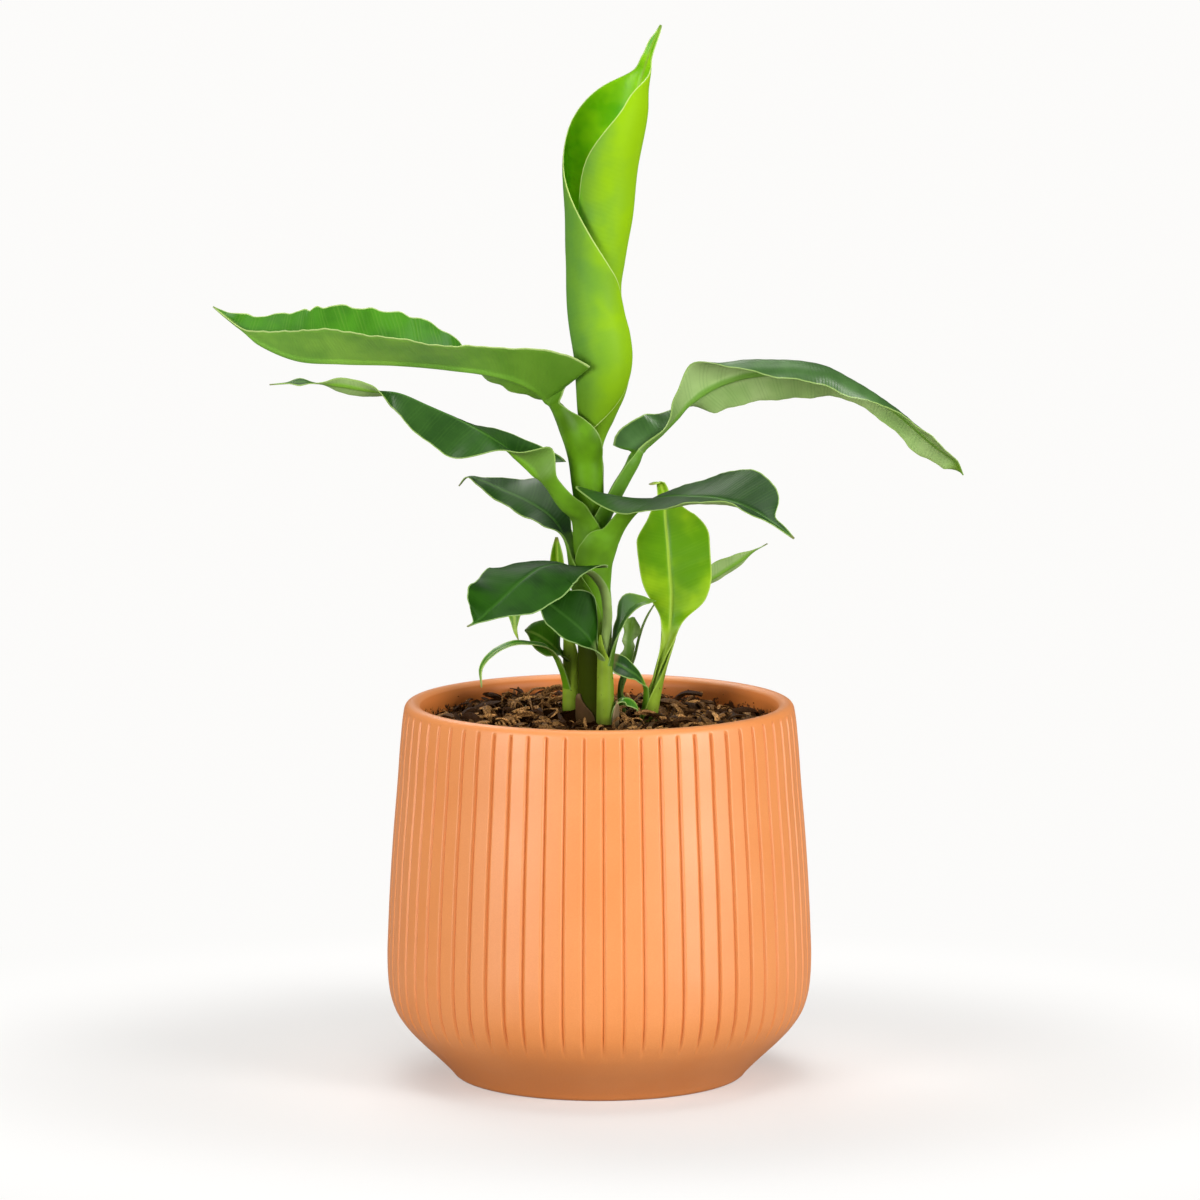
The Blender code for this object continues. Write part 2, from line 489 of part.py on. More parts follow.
def make_soil(collection):
    """The potting soil, with bark fused in, and a plain hole for each stem."""
    inner = [(radius, z) for radius, z in INSIDE if FLOOR < z < SOIL_TOP and radius > 0]
    (low_radius, low_z), (high_radius, high_z) = inner[-1], next(p for p in INSIDE if p[1] > SOIL_TOP)
    share = (SOIL_TOP - low_z) / (high_z - low_z)
    rim = low_radius + share * (high_radius - low_radius) - SOIL_GAP
    wall = [(radius - SOIL_GAP, z) for radius, z in reversed(inner)]
    rings = [(radius, SOIL_TOP) for radius in SOIL_RINGS]
    floor_radius = INSIDE[1][0] - SOIL_GAP
    profile = [(0.0, SOIL_TOP)] + rings + [(rim, SOIL_TOP)] + wall
    profile += [(floor_radius, FLOOR + SOIL_GAP), (0.0, FLOOR + SOIL_GAP)]
    mesh = turned("soil", profile, SOIL_SIDES, 0.0, collection)
    for vert in mesh.vertices:
        x, y, z = vert.co / MM
        if z > SOIL_TOP - 0.01 and math.hypot(x, y) < rim - 0.5:
            vert.co.z = soil_height(x, y) * MM
    soil = new_object("soil", mesh, collection, new_material("potting_soil", (0.045, 0.026, 0.016), 0.95))
    dice = random.Random(CHIP_SEED)
    chips = new_collection("chips")
    for index in range(CHIPS):
        new_object(f"chip_{index}", bark_chip(dice, index), chips)
    combine(soil, chips, "UNION")
    borers = new_collection("borers")
    for (x, y), radius in HOLES:
        bm = bmesh.new()
        bmesh.ops.create_cone(bm, cap_ends=True, segments=16, radius1=radius * MM, radius2=radius * MM,
                              depth=60 * MM)
        bmesh.ops.translate(bm, vec=Vector((x, y, HOLE_FLOOR + 30)) * MM, verts=bm.verts)
        new_object("borer", mesh_of("borer", bm), borers)
    combine(soil, borers, "DIFFERENCE")
    return soil


def arc_point(width, fold, curl, share):
    """Reach and rise along a half section that starts at the fold and bends by the curl."""
    start, bend, reach = math.radians(fold), math.radians(curl) * share, width * share
    if abs(bend) < 1e-4:
        return reach * math.cos(start), reach * math.sin(start)
    radius = reach / bend
    return (radius * (math.sin(start + bend) - math.sin(start)),
            radius * (math.cos(start) - math.cos(start + bend)))


def sheet_frames(plan):
    """The origin, side and upper direction at each station of a leaf."""
    places = [Vector((s.x, s.y, s.z)) for s in plan.stations]
    heading = math.radians(plan.heading)
    flat_side = Vector((math.cos(heading), math.sin(heading), 0.0)).cross(Vector((0.0, 0.0, 1.0)))
    frames = []
    for index, station in enumerate(plan.stations):
        before = places[max(index - 1, 0)]
        after = places[min(index + 1, len(places) - 1)]
        along = Vector((0.0, 0.0, 1.0)) if station.level else (after - before).normalized()
        side = (flat_side - flat_side.dot(along) * along).normalized()
        upper = side.cross(along)
        turn = math.radians(station.turn)
        frames.append((places[index], math.cos(turn) * side + math.sin(turn) * upper,
                       math.cos(turn) * upper - math.sin(turn) * side))
    return frames


def make_leaf(plan, collection):
    """A leaf: a flat grid bent through its stations, then given its thickness below."""
    rows = len(plan.stations) - 1
    columns = 2 * plan.columns
    bm = bmesh.new()
    bmesh.ops.create_grid(bm, x_segments=columns, y_segments=rows, size=1.0)
    frames = sheet_frames(plan)
    thick = bm.verts.layers.deform.verify()
    for vert in bm.verts:
        across = vert.co.x
        row = round((vert.co.y + 1.0) / 2.0 * rows)
        station = plan.stations[row]
        origin, side, upper = frames[row]
        share = abs(across)
        if across < 0:
            reach, rise = arc_point(station.left, station.fold_left, station.curl_left, share)
            reach = -reach
        else:
            reach, rise = arc_point(station.right, station.fold_right, station.curl_right, share)
        if plan.columns == BROAD_COLUMNS and not station.level:
            rise += WAVE * math.sin(row * 2.3) * share ** 3 * min(reach * reach / 100, 1)
        vert.co = (origin + reach * side + rise * upper) * MM
        stout = share < 0.01 and not station.level and min(station.left, station.right) > 4
        vert[thick][0] = 1.0 if stout and station.fold_left > -40 else plan.wall / MIDRIB_WALL
    bmesh.ops.triangulate(bm, faces=bm.faces)
    name = plan.name
    leaf = new_object(name, mesh_of(name, bm), collection, new_material(name + "_green", plan.colour, 0.45))
    leaf.vertex_groups.new(name="thickness")
    solid = leaf.modifiers.new("thickness", "SOLIDIFY")
    solid.thickness = MIDRIB_WALL * MM
    solid.offset = -1.0
    solid.vertex_group = "thickness"
    solid.use_rim = True
    return leaf


def main():
    """Build the potted plant."""
    for item in list(bpy.data.objects):
        bpy.data.objects.remove(item)
    parts = new_collection("potted_banana_plant")
    make_pot(parts)
    make_soil(parts)
    plans = (main_leaves() + front_sucker_leaves() + left_sucker_leaves() + right_sucker_leaves()
             + back_sucker_leaves())
    for plan in plans:
        make_leaf(plan, parts)


main()
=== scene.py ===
"""Looks of the potted banana plant: ribbed terracotta pot, bark soil, and the plant with its suckers.

Metres, +Z up, the front towards -Y. Sizes in the classes below are in millimetres.
"""

import logging
import math
import random
from collections import namedtuple
from dataclasses import dataclass, field, replace
from enum import Enum

import bmesh
import bpy
import numpy as np
from bpy.types import Material, Mesh, Node, NodeSocket, NodeTree, Object
from mathutils import Matrix, Vector, noise


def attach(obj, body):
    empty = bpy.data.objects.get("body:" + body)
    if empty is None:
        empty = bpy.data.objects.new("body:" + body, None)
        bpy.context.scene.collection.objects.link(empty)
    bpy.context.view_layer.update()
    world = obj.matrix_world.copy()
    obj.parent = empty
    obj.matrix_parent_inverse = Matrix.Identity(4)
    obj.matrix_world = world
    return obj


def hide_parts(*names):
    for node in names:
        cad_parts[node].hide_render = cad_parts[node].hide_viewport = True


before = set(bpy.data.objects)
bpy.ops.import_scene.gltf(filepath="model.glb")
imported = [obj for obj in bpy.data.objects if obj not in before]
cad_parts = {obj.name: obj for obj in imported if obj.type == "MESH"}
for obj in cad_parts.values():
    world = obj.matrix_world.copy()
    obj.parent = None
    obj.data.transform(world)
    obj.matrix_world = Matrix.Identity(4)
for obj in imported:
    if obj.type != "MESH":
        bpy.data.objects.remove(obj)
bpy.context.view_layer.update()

log = logging.getLogger("banana_plant")

MM = 0.001
BODY = "root"

Colour = tuple[float, float, float]
Point = tuple[float, float]
Triple = tuple[float, float, float]

# One cross-section of a leaf: the midrib's place, the turn about it, and for the left and right
# half, seen from base to tip, the width, the fold up from flat and the further curl, in degrees
Station = namedtuple(
    "Station", "x y z turn left right fold_left fold_right curl_left curl_right level")
LEVEL = Station._fields.index("level")

# Where each stem stands, in millimetres
MAIN = (-3.5, 9.0)
FRONT = (2.8, -5.0)
LEFT = (-13.0, 20.5)
RIGHT = (22.0, 11.5)
BACK = (11.0, 27.0)
STEM_FOOT = 150.0
SPEAR_HEADING = 50

# How far a vein runs on towards the tip for each millimetre from the midrib
VEIN_LEAN = 0.32

# The colour sockets of a Mix node: three inputs and the output
MIX_SHARE, MIX_FIRST, MIX_SECOND, MIX_RESULT = 0, 6, 7, 2

# Colours at the foot of the stems: a dark olive that is partly their own and partly painted shade, and
# browns; and the heights, in metres, between which two of them fade out
SHADE_AND_SMUDGE_OLIVE = (0.026, 0.031, 0.002)
FOOT_BROWN = (0.075, 0.038, 0.014)
SPECK_BROWN = (0.05, 0.035, 0.012)
FOOT_FADE = (0.158, 0.172)
SPECK_FADE = (0.17, 0.26)


class Side(Enum):
    """The two faces of a leaf."""

    UPPER = "upper"
    UNDER = "under"


class Breadth(Enum):
    """How a leaf is gridded: columns in each half."""

    BROAD = 22
    NARROW = 12
    ROLLED = 44


class Wiring:
    """Short calls that add and join the nodes of one node tree."""

    def __init__(self, tree: NodeTree) -> None:
        """Keep the tree.

        Args:
            tree: The node tree to work in.
        """
        self.tree = tree

    def add(self, kind: str, **settings: object) -> Node:
        """Add a node.

        Args:
            kind: The node's type name, without its ShaderNode prefix.
            settings: Properties to set on it.

        Returns:
            The new node.
        """
        node = self.tree.nodes.new("ShaderNode" + kind)
        for key, value in settings.items():
            setattr(node, key, value)
        return node

    def feed(self, node: Node, socket: str | int, value: object) -> None:
        """Link a socket into an input, or set the input to a value.

        Args:
            node: The node that takes the value.
            socket: The input's name or number.
            value: An output socket, a number, or a colour or vector.
        """
        if isinstance(value, NodeSocket):
            self.tree.links.new(value, node.inputs[socket])
            return
        if isinstance(value, tuple) and node.inputs[socket].type == "RGBA":
            value = (*value[:3], 1.0)
        node.inputs[socket].default_value = value

    def math(self, operation: str, first: object, second: object = 0.0, third: object = 0.0,
             clamp: bool = False) -> NodeSocket:
        """One arithmetic step.

        Args:
            operation: The Math node's operation.
            first: First value or socket.
            second: Second value or socket.
            third: Third value or socket, which only MULTIPLY_ADD reads.
            clamp: Keep the result between 0 and 1.

        Returns:
            The result's socket.
        """
        node = self.add("Math", operation=operation, use_clamp=clamp)
        self.feed(node, 0, first)
        self.feed(node, 1, second)
        self.feed(node, 2, third)
        return node.outputs[0]

    def span(self, value: object, low: object, high: object,
             start: float = 0.0, end: float = 1.0) -> NodeSocket:
        """A smooth step from one level to another.

        Args:
            value: The value read.
            low: Where the step starts.
            high: Where it ends.
            start: Result at low.
            end: Result at high.

        Returns:
            The result's socket.
        """
        node = self.add("MapRange", interpolation_type="SMOOTHSTEP")
        ends = (("From Min", low), ("From Max", high), ("To Min", start), ("To Max", end))
        for name, item in (("Value", value), *ends):
            self.feed(node, name, item)
        return node.outputs["Result"]

    def blend(self, factor: object, first: object, second: object) -> NodeSocket:
        """Mix two colours.

        Args:
            factor: Share of the second colour.
            first: First colour.
            second: Second colour.

        Returns:
            The mixed colour's socket.
        """
        node = self.add("Mix", data_type="RGBA")
        self.feed(node, MIX_SHARE, factor)
        self.feed(node, MIX_FIRST, first)
        self.feed(node, MIX_SECOND, second)
        return node.outputs[MIX_RESULT]

    def noise(self, place: object, scale: float, detail: float = 3.0, rough: float = 0.55) -> NodeSocket:
        """Cloudy noise.

        Args:
            place: The coordinates read.
            scale: Waves a metre of coordinates.
            detail: Octaves.
            rough: How strong the finer octaves are.

        Returns:
            The noise's factor socket.
        """
        node = self.add("TexNoise", noise_dimensions="3D")
        self.feed(node, "Vector", place)
        self.feed(node, "Scale", scale)
        self.feed(node, "Detail", detail)
        self.feed(node, "Roughness", rough)
        return node.outputs["Fac"]

    def stretched(self, place: object, scale: Triple) -> NodeSocket:
        """Coordinates scaled unevenly.

        Args:
            place: The coordinates.
            scale: Factor along each axis.

        Returns:
            The new coordinates' socket.
        """
        node = self.add("Mapping")
        self.feed(node, "Vector", place)
        self.feed(node, "Scale", scale)
        return node.outputs["Vector"]

    def attribute(self, name: str) -> NodeSocket:
        """The value of a mesh attribute."""
        return self.add("Attribute", attribute_name=name).outputs["Fac"]

    def object_place(self) -> NodeSocket:
        """Object coordinates."""
        return self.add("TexCoord").outputs["Object"]

    def height(self, axis: str = "Z") -> NodeSocket:
        """Height above the table, or the place along another axis, in metres."""
        node = self.add("SeparateXYZ")
        self.feed(node, 0, self.object_place())
        return node.outputs[axis]

    def bump(self, height: object, distance: float, strength: float = 1.0) -> NodeSocket:
        """A bumped normal.

        Args:
            height: Height from 0 to 1.
            distance: Depth of the relief, in metres.
            strength: How much of it shows.

        Returns:
            The normal's socket.
        """
        node = self.add("Bump")
        self.feed(node, "Height", height)
        self.feed(node, "Distance", distance)
        self.feed(node, "Strength", strength)
        return node.outputs["Normal"]

    def use(self, group: NodeTree, **values: object) -> Node:
        """Place a shader group.

        Args:
            group: The node group.
            values: What to feed its inputs.

        Returns:
            The group's node.
        """
        node = self.add("Group", node_tree=group)
        for name, value in values.items():
            self.feed(node, name, value)
        return node


def shader_group(name: str, inputs: list[str], outputs: list[str]) -> tuple[NodeTree, Wiring, Node, Node]:
    """A new shader node group of number sockets.

    Args:
        name: The group's name.
        inputs: Names of its inputs; Place is a vector.
        outputs: Names of its outputs.

    Returns:
        The group, its wiring, and its input and output nodes.
    """
    group = bpy.data.node_groups.new(name, "ShaderNodeTree")
    for label in inputs:
        kind = "NodeSocketVector" if label == "Place" else "NodeSocketFloat"
        group.interface.new_socket(label, in_out="INPUT", socket_type=kind)
    for label in outputs:
        group.interface.new_socket(label, in_out="OUTPUT", socket_type="NodeSocketFloat")
    wiring = Wiring(group)
    source = group.nodes.new("NodeGroupInput")
    sink = group.nodes.new("NodeGroupOutput")
    return group, wiring, source, sink


def cross_veins_group() -> NodeTree:
    """Fine ribs that run from the midrib to the margin.

    Returns:
        A group that takes Place, Along, Reach and Spacing and gives Height and Line.
    """
    group, wiring, source, sink = shader_group(
        "cross_veins", ["Place", "Along", "Reach", "Spacing"], ["Height", "Line"])
    sway = wiring.noise(source.outputs["Place"], 60.0, 1.0)
    lean = wiring.math("MULTIPLY", source.outputs["Reach"], -VEIN_LEAN)
    along = wiring.math("ADD", source.outputs["Along"], lean)
    along = wiring.math("ADD", along, wiring.math("MULTIPLY", sway, 2.4))
    turns = wiring.math("DIVIDE", along, source.outputs["Spacing"])
    fine = wiring.math("SINE", wiring.math("MULTIPLY", turns, math.tau))
    coarse = wiring.math("SINE", wiring.math("MULTIPLY", turns, math.tau / 5.0))
    fine_share = wiring.math("MULTIPLY", fine, 0.32)
    coarse_share = wiring.math("MULTIPLY", coarse, 0.18)
    height = wiring.math("ADD", fine_share, coarse_share)
    height = wiring.math("ADD", height, 0.5, clamp=True)
    wiring.feed(sink, "Height", height)
    wiring.feed(sink, "Line", wiring.span(height, 0.62, 0.95))
    return group


def blotch_group() -> NodeTree:
    """Soft patches and small specks.

    Returns:
        A group that takes Place and gives Patch and Speck.
    """
    group, wiring, source, sink = shader_group("blotches", ["Place"], ["Patch", "Speck"])
    patch = wiring.noise(source.outputs["Place"], 38.0, 3.0)
    speck = wiring.noise(source.outputs["Place"], 520.0, 1.0)
    wiring.feed(sink, "Patch", wiring.span(patch, 0.36, 0.66))
    wiring.feed(sink, "Speck", wiring.span(speck, 0.70, 0.78))
    return group


def grain_group() -> NodeTree:
    """Fine mineral grain with pits.

    Returns:
        A group that takes Place and gives Grain, Cloud and Pit.
    """
    group, wiring, source, sink = shader_group("grain", ["Place"], ["Grain", "Cloud", "Pit"])
    wiring.feed(sink, "Grain", wiring.noise(source.outputs["Place"], 1500.0, 4.0, 0.7))
    wiring.feed(sink, "Cloud", wiring.noise(source.outputs["Place"], 22.0, 3.0))
    pits = wiring.noise(source.outputs["Place"], 420.0, 2.0)
    wiring.feed(sink, "Pit", wiring.span(pits, 0.66, 0.74))
    return group


@dataclass(frozen=True)
class Groups:
    """The shader groups that several finishes share."""

    veins: NodeTree
    blotches: NodeTree
    grain: NodeTree


def new_material(name: str) -> tuple[Material, Wiring, Node]:
    """A material with a Principled shader.

    Args:
        name: The material's name.

    Returns:
        The material, its wiring and its shader.
    """
    material = bpy.data.materials.new(name)
    material.use_nodes = True
    return material, Wiring(material.node_tree), material.node_tree.nodes["Principled BSDF"]


def darker(colour: Colour, share: float) -> Colour:
    """The same colour at a share of its strength."""
    return tuple(share * part for part in colour)


@dataclass(frozen=True)
class LeafFace:
    """What the shader of one face of a leaf works from."""

    wiring: Wiring
    upper: bool
    blotches: Node
    veins: Node
    blade: NodeSocket
    reach: NodeSocket

    @property
    def patch(self) -> NodeSocket:
        """Soft patches, from 0 to 1."""
        return self.blotches.outputs["Patch"]


@dataclass(frozen=True)
class LeafFinish:
    """Colours and gloss of one kind of leaf. Lengths are in millimetres; the span of painted light across
    the under face and its waver are in metres.
    """

    name: str
    slot: str
    upper: Colour
    upper_deep: Colour
    under: Colour
    under_deep: Colour
    petiole: Colour
    midrib: Colour
    margin: Colour
    tip: Colour
    upper_gloss: float = 0.38
    under_gloss: float = 0.5
    vein_tone: float = 0.10
    relief: float = 0.00022
    spacing: float = 1.7
    sheen: float = 0.5
    rib_share: float = 0.85
    # With its second number set, the under face is painted from under_deep to under across this span along
    # X, in metres: painted light from the right
    lit: tuple[float, float] = (0.0, 0.0)
    tip_reach: float = 3.2
    waver: float = 0.010
    stem_shade: float = 0.55
    foot_shade: float = 0.6
    blade_foot: Point = (4.0, 48.0)
    upper_rib_width: float = 1.1
    upper_rib_share: float = 0.8
    under_rib_width: float = 2.3
    margin_width: Point = (0.25, 0.75)
    calm_tip: Point = (15.0, 60.0)

    def material(self, side: Side, groups: Groups) -> Material:
        """The material of one face of the leaf.

        Args:
            side: Upper or under face.
            groups: The shared shader groups.

        Returns:
            The material.
        """
        material, wiring, shader = new_material(f"{self.name}_{side.value}")
        place, blade, reach = wiring.object_place(), wiring.attribute("blade"), wiring.attribute("reach")
        blotches = wiring.use(groups.blotches, Place=place)
        veins = wiring.use(groups.veins, Place=place, Along=wiring.attribute("along"), Reach=reach,
                           Spacing=self.spacing)
        face = LeafFace(wiring, side is Side.UPPER, blotches, veins, blade, reach)
        colour = self.edged(face, self.ribbed(face, self.body_colour(face)))
        wiring.feed(shader, "Base Color", self.stained(face, colour))
        self.polish(face, shader)
        return material

    def body_colour(self, face: LeafFace) -> NodeSocket:
        """Patches and veins on the blade, and plain patches on the petiole and sheath; with a painted light
        span, the under face is painted darker to the left and lighter to the right instead.
        """
        wiring = face.wiring
        # Painted light: the under face darkens to the left and lightens to the right, as if lit through
        # from the right
        if self.lit[1] and not face.upper:
            across = wiring.math("MULTIPLY_ADD", face.patch, self.waver, wiring.height("X"))
            return wiring.blend(wiring.span(across, *self.lit), self.under_deep, self.under)
        light, deep = (self.upper, self.upper_deep) if face.upper else (self.under, self.under_deep)
        colour = wiring.blend(face.patch, deep, light)
        vein_share = wiring.math("MULTIPLY", face.veins.outputs["Line"], self.vein_tone)
        colour = wiring.blend(vein_share, colour, self.midrib)
        stem = wiring.blend(face.patch, darker(self.petiole, self.stem_shade), self.petiole)
        return wiring.blend(face.blade, stem, colour)

    def ribbed(self, face: LeafFace, colour: NodeSocket) -> NodeSocket:
        """Add the midrib, and under the foot of the blade the petiole's colour."""
        wiring = face.wiring
        width, share, rib_colour = self.upper_rib_width, self.upper_rib_share, self.midrib
        if not face.upper:
            width, share, rib_colour = self.under_rib_width, self.rib_share, self.petiole
            base = wiring.span(wiring.attribute("opened"), *self.blade_foot, 0.75, 0.0)
            base = wiring.math("MULTIPLY", base, face.blade)
            colour = wiring.blend(base, colour, darker(self.petiole, self.foot_shade))
        rib = wiring.span(face.reach, 0.3, width, share, 0.0)
        return wiring.blend(wiring.math("MULTIPLY", rib, face.blade), colour, rib_colour)

    def edged(self, face: LeafFace, colour: NodeSocket) -> NodeSocket:
        """Add the thin pale margin and the colour of the tip."""
        wiring = face.wiring
        margin = wiring.span(wiring.attribute("margin"), *self.margin_width, 0.9, 0.0)
        margin = wiring.math("MULTIPLY", margin, wiring.math("MULTIPLY_ADD", face.blade, 0.55, 0.45))
        colour = wiring.blend(margin, colour, self.margin)
        tip = wiring.span(wiring.attribute("to_tip"), 0.25 * self.tip_reach, self.tip_reach, 0.7, 0.0)
        return wiring.blend(tip, colour, self.tip)

    def stained(self, face: LeafFace, colour: NodeSocket) -> NodeSocket:
        """Darken the foot of the stems, partly as painted shade, and brown it, with specks.

        Args:
            face: The face's wiring and values.
            colour: The colour so far.

        Returns:
            The stained colour.
        """
        wiring = face.wiring
        stem = wiring.math("SUBTRACT", 1.0, wiring.attribute("blade"))
        streaks = wiring.noise(wiring.stretched(wiring.object_place(), (1.0, 1.0, 0.12)), 420.0, 2.0)
        # The dark olive is partly the stem's own streaked foot and partly painted shade under the leaves
        # above
        depth = wiring.math("MULTIPLY_ADD", streaks, 0.5, wiring.attribute("stain"))
        depth = wiring.math("MULTIPLY", wiring.span(depth, 0.35, 1.15, 0.0, 0.94), stem)
        colour = wiring.blend(depth, colour, SHADE_AND_SMUDGE_OLIVE)
        uneven = wiring.math("MULTIPLY", face.patch, 0.008)
        level = wiring.math("SUBTRACT", wiring.height(), uneven)
        foot = wiring.math("MULTIPLY", wiring.span(level, *FOOT_FADE, 0.85, 0.0), stem)
        colour = wiring.blend(foot, colour, FOOT_BROWN)
        fewer = wiring.span(wiring.height(), *SPECK_FADE, 0.8, 0.1)
        specks = wiring.math("MULTIPLY", face.blotches.outputs["Speck"], fewer)
        return wiring.blend(wiring.math("MULTIPLY", specks, stem), colour, SPECK_BROWN)

    def polish(self, face: LeafFace, shader: Node) -> None:
        """Set the roughness and highlights, and raise the veins, less so near the tip."""
        wiring = face.wiring
        gloss = self.upper_gloss if face.upper else self.under_gloss
        sheen = self.sheen if face.upper else 0.5 * self.sheen
        wiring.feed(shader, "Roughness", wiring.math("MULTIPLY_ADD", face.patch, 0.08, gloss))
        dull = wiring.math("MULTIPLY_ADD", wiring.attribute("stain"), -0.9 * sheen, sheen)
        wiring.feed(shader, "Specular IOR Level", dull)
        calm = wiring.span(wiring.attribute("to_tip"), *self.calm_tip, 0.0, 1.0)
        calm = wiring.math("MULTIPLY", face.blade, calm)
        height = wiring.math("MULTIPLY", face.veins.outputs["Height"], calm)
        wiring.feed(shader, "Normal", wiring.bump(height, self.relief))


@dataclass(frozen=True)
class TerracottaFinish:
    """Matt fired clay, darker with splashed soil on the inner wall."""

    clay: Colour = (0.79, 0.270, 0.064)
    pale: Colour = (0.81, 0.292, 0.078)
    deep: Colour = (0.62, 0.172, 0.033)
    soil: Colour = (0.035, 0.018, 0.009)
    splash_fade: Point = (0.164, 0.1735)
    roughness: float = 0.40
    sheen: float = 0.35
    coat: float = 0.6
    coat_roughness: float = 0.46
    coat_index: float = 1.7
    relief: float = 0.00005

    def material(self, groups: Groups) -> Material:
        """The pot's material.

        Args:
            groups: The shared shader groups.

        Returns:
            The material.
        """
        material, wiring, shader = new_material("terracotta")
        place = wiring.object_place()
        grain = wiring.use(groups.grain, Place=place)
        colour = wiring.blend(wiring.span(grain.outputs["Cloud"], 0.35, 0.65), self.clay, self.pale)
        colour = wiring.blend(wiring.span(grain.outputs["Grain"], 0.35, 0.75, 0.22, 0.0), colour, self.deep)
        # Painted shade with some dirt: the grooves darken towards the deep clay
        groove_shade = wiring.attribute("groove_shade")
        colour = wiring.blend(wiring.span(groove_shade, 0.5, 1.0, 0.0, 0.75), colour, self.deep)
        inner = wiring.attribute("inner")
        colour = wiring.blend(wiring.math("MULTIPLY", inner, 0.75), colour, self.deep)
        splash = wiring.noise(place, 260.0, 3.0, 0.7)
        low = wiring.span(wiring.height(), *self.splash_fade, 0.30, -0.06)
        wet = wiring.math("MULTIPLY", wiring.span(wiring.math("ADD", splash, low), 0.70, 0.78), inner)
        colour = wiring.blend(wiring.math("MULTIPLY", wet, 0.9), colour, self.soil)
        wiring.feed(shader, "Base Color", colour)
        rough = wiring.math("MULTIPLY_ADD", grain.outputs["Grain"], 0.14, self.roughness)
        wiring.feed(shader, "Roughness", rough)
        wiring.feed(shader, "Specular IOR Level", self.sheen)
        wiring.feed(shader, "Coat Weight", wiring.math("MULTIPLY_ADD", inner, -0.55, self.coat))
        wiring.feed(shader, "Coat Roughness", self.coat_roughness)
        wiring.feed(shader, "Coat IOR", self.coat_index)
        pits = wiring.math("MULTIPLY", grain.outputs["Pit"], 0.5)
        relief = wiring.math("SUBTRACT", grain.outputs["Grain"], pits)
        wiring.feed(shader, "Normal", wiring.bump(relief, self.relief, 0.6))
        return material


@dataclass(frozen=True)
class EarthFinish:
    """A rough, mineral or woody finish in two tones."""

    name: str
    dark: Colour
    light: Colour
    fibre: bool = False
    roughness: float = 0.9
    sheen: float = 0.0
    relief: float = 0.0004
    fibre_scale: Triple = (3.0, 26.0, 1.0)

    def material(self, groups: Groups) -> Material:
        """The material.

        Args:
            groups: The shared shader groups.

        Returns:
            The material.
        """
        material, wiring, shader = new_material(self.name)
        grain = wiring.use(groups.grain, Place=wiring.object_place())
        tone = wiring.attribute("tone")
        tone = wiring.math("MULTIPLY", tone, wiring.span(grain.outputs["Grain"], 0.3, 0.75))
        if self.fibre:
            along = wiring.stretched(wiring.add("UVMap").outputs["UV"], self.fibre_scale)
            lines = wiring.noise(along, 2.0, 3.0)
            tone = wiring.math("MULTIPLY", tone, wiring.span(lines, 0.3, 0.7, 0.35, 1.3))
        wiring.feed(shader, "Base Color", wiring.blend(tone, self.dark, self.light))
        wiring.feed(shader, "Normal", wiring.bump(grain.outputs["Grain"], self.relief, 0.9))
        wiring.feed(shader, "Roughness", self.roughness)
        wiring.feed(shader, "Specular IOR Level", self.sheen)
        return material


PEAT = EarthFinish("peat", dark=(0.012, 0.004, 0.001), light=(0.06, 0.024, 0.006))
BARK = EarthFinish("bark", dark=(0.026, 0.0085, 0.002), light=(0.98, 0.50, 0.17), fibre=True,
                   roughness=0.42, sheen=0.05)
CRUMB = EarthFinish("crumb", dark=(0.014, 0.0045, 0.001), light=(0.18, 0.08, 0.024))
PERLITE = EarthFinish("perlite", dark=(0.30, 0.24, 0.17), light=(0.78, 0.70, 0.58))
# The spear leaf's bright upper colours are painted light shining through the thin rolled leaf; its
# under_deep is the painted shaded left side and its under the painted lit right side of the under face
SPEAR = LeafFinish(
    name="spear_leaf", slot="leaf_young", upper=(0.32, 0.70, 0.006), upper_deep=(0.12, 0.46, 0.003),
    under=(0.27, 0.505, 0.003), under_deep=(0.120, 0.30, 0.040), petiole=(0.20, 0.42, 0.01),
    midrib=(0.30, 0.52, 0.04), margin=(0.52, 0.68, 0.20), tip=(0.16, 0.30, 0.04), upper_gloss=0.25,
    under_gloss=0.48, vein_tone=0.05, spacing=2.2, relief=0.00004, sheen=0.12, rib_share=0.0,
    lit=(-0.011, 0.020))
# The young leaf's upper colours are partly its own light green and partly painted light shining through the
# thin blade
YOUNG = LeafFinish(
    name="young_leaf", slot="leaf_young", upper=(0.29, 0.52, 0.004), upper_deep=(0.105, 0.29, 0.001),
    under=(0.28, 0.46, 0.04), under_deep=(0.22, 0.39, 0.03), petiole=(0.30, 0.46, 0.035),
    midrib=(0.38, 0.58, 0.05), margin=(0.42, 0.60, 0.10), tip=(0.22, 0.20, 0.05), upper_gloss=0.34,
    under_gloss=0.42, vein_tone=0.04, relief=0.00003, sheen=0.2)
MID = LeafFinish(
    name="mid_leaf", slot="leaf_mid", upper=(0.062, 0.26, 0.004), upper_deep=(0.035, 0.165, 0.004),
    under=(0.235, 0.49, 0.06), under_deep=(0.155, 0.37, 0.045), petiole=(0.130, 0.325, 0.008),
    midrib=(0.24, 0.42, 0.06), margin=(0.45, 0.60, 0.20), tip=(0.20, 0.30, 0.06), upper_gloss=0.28,
    under_gloss=0.40, vein_tone=0.12, relief=0.00006, sheen=0.3, rib_share=0.1)
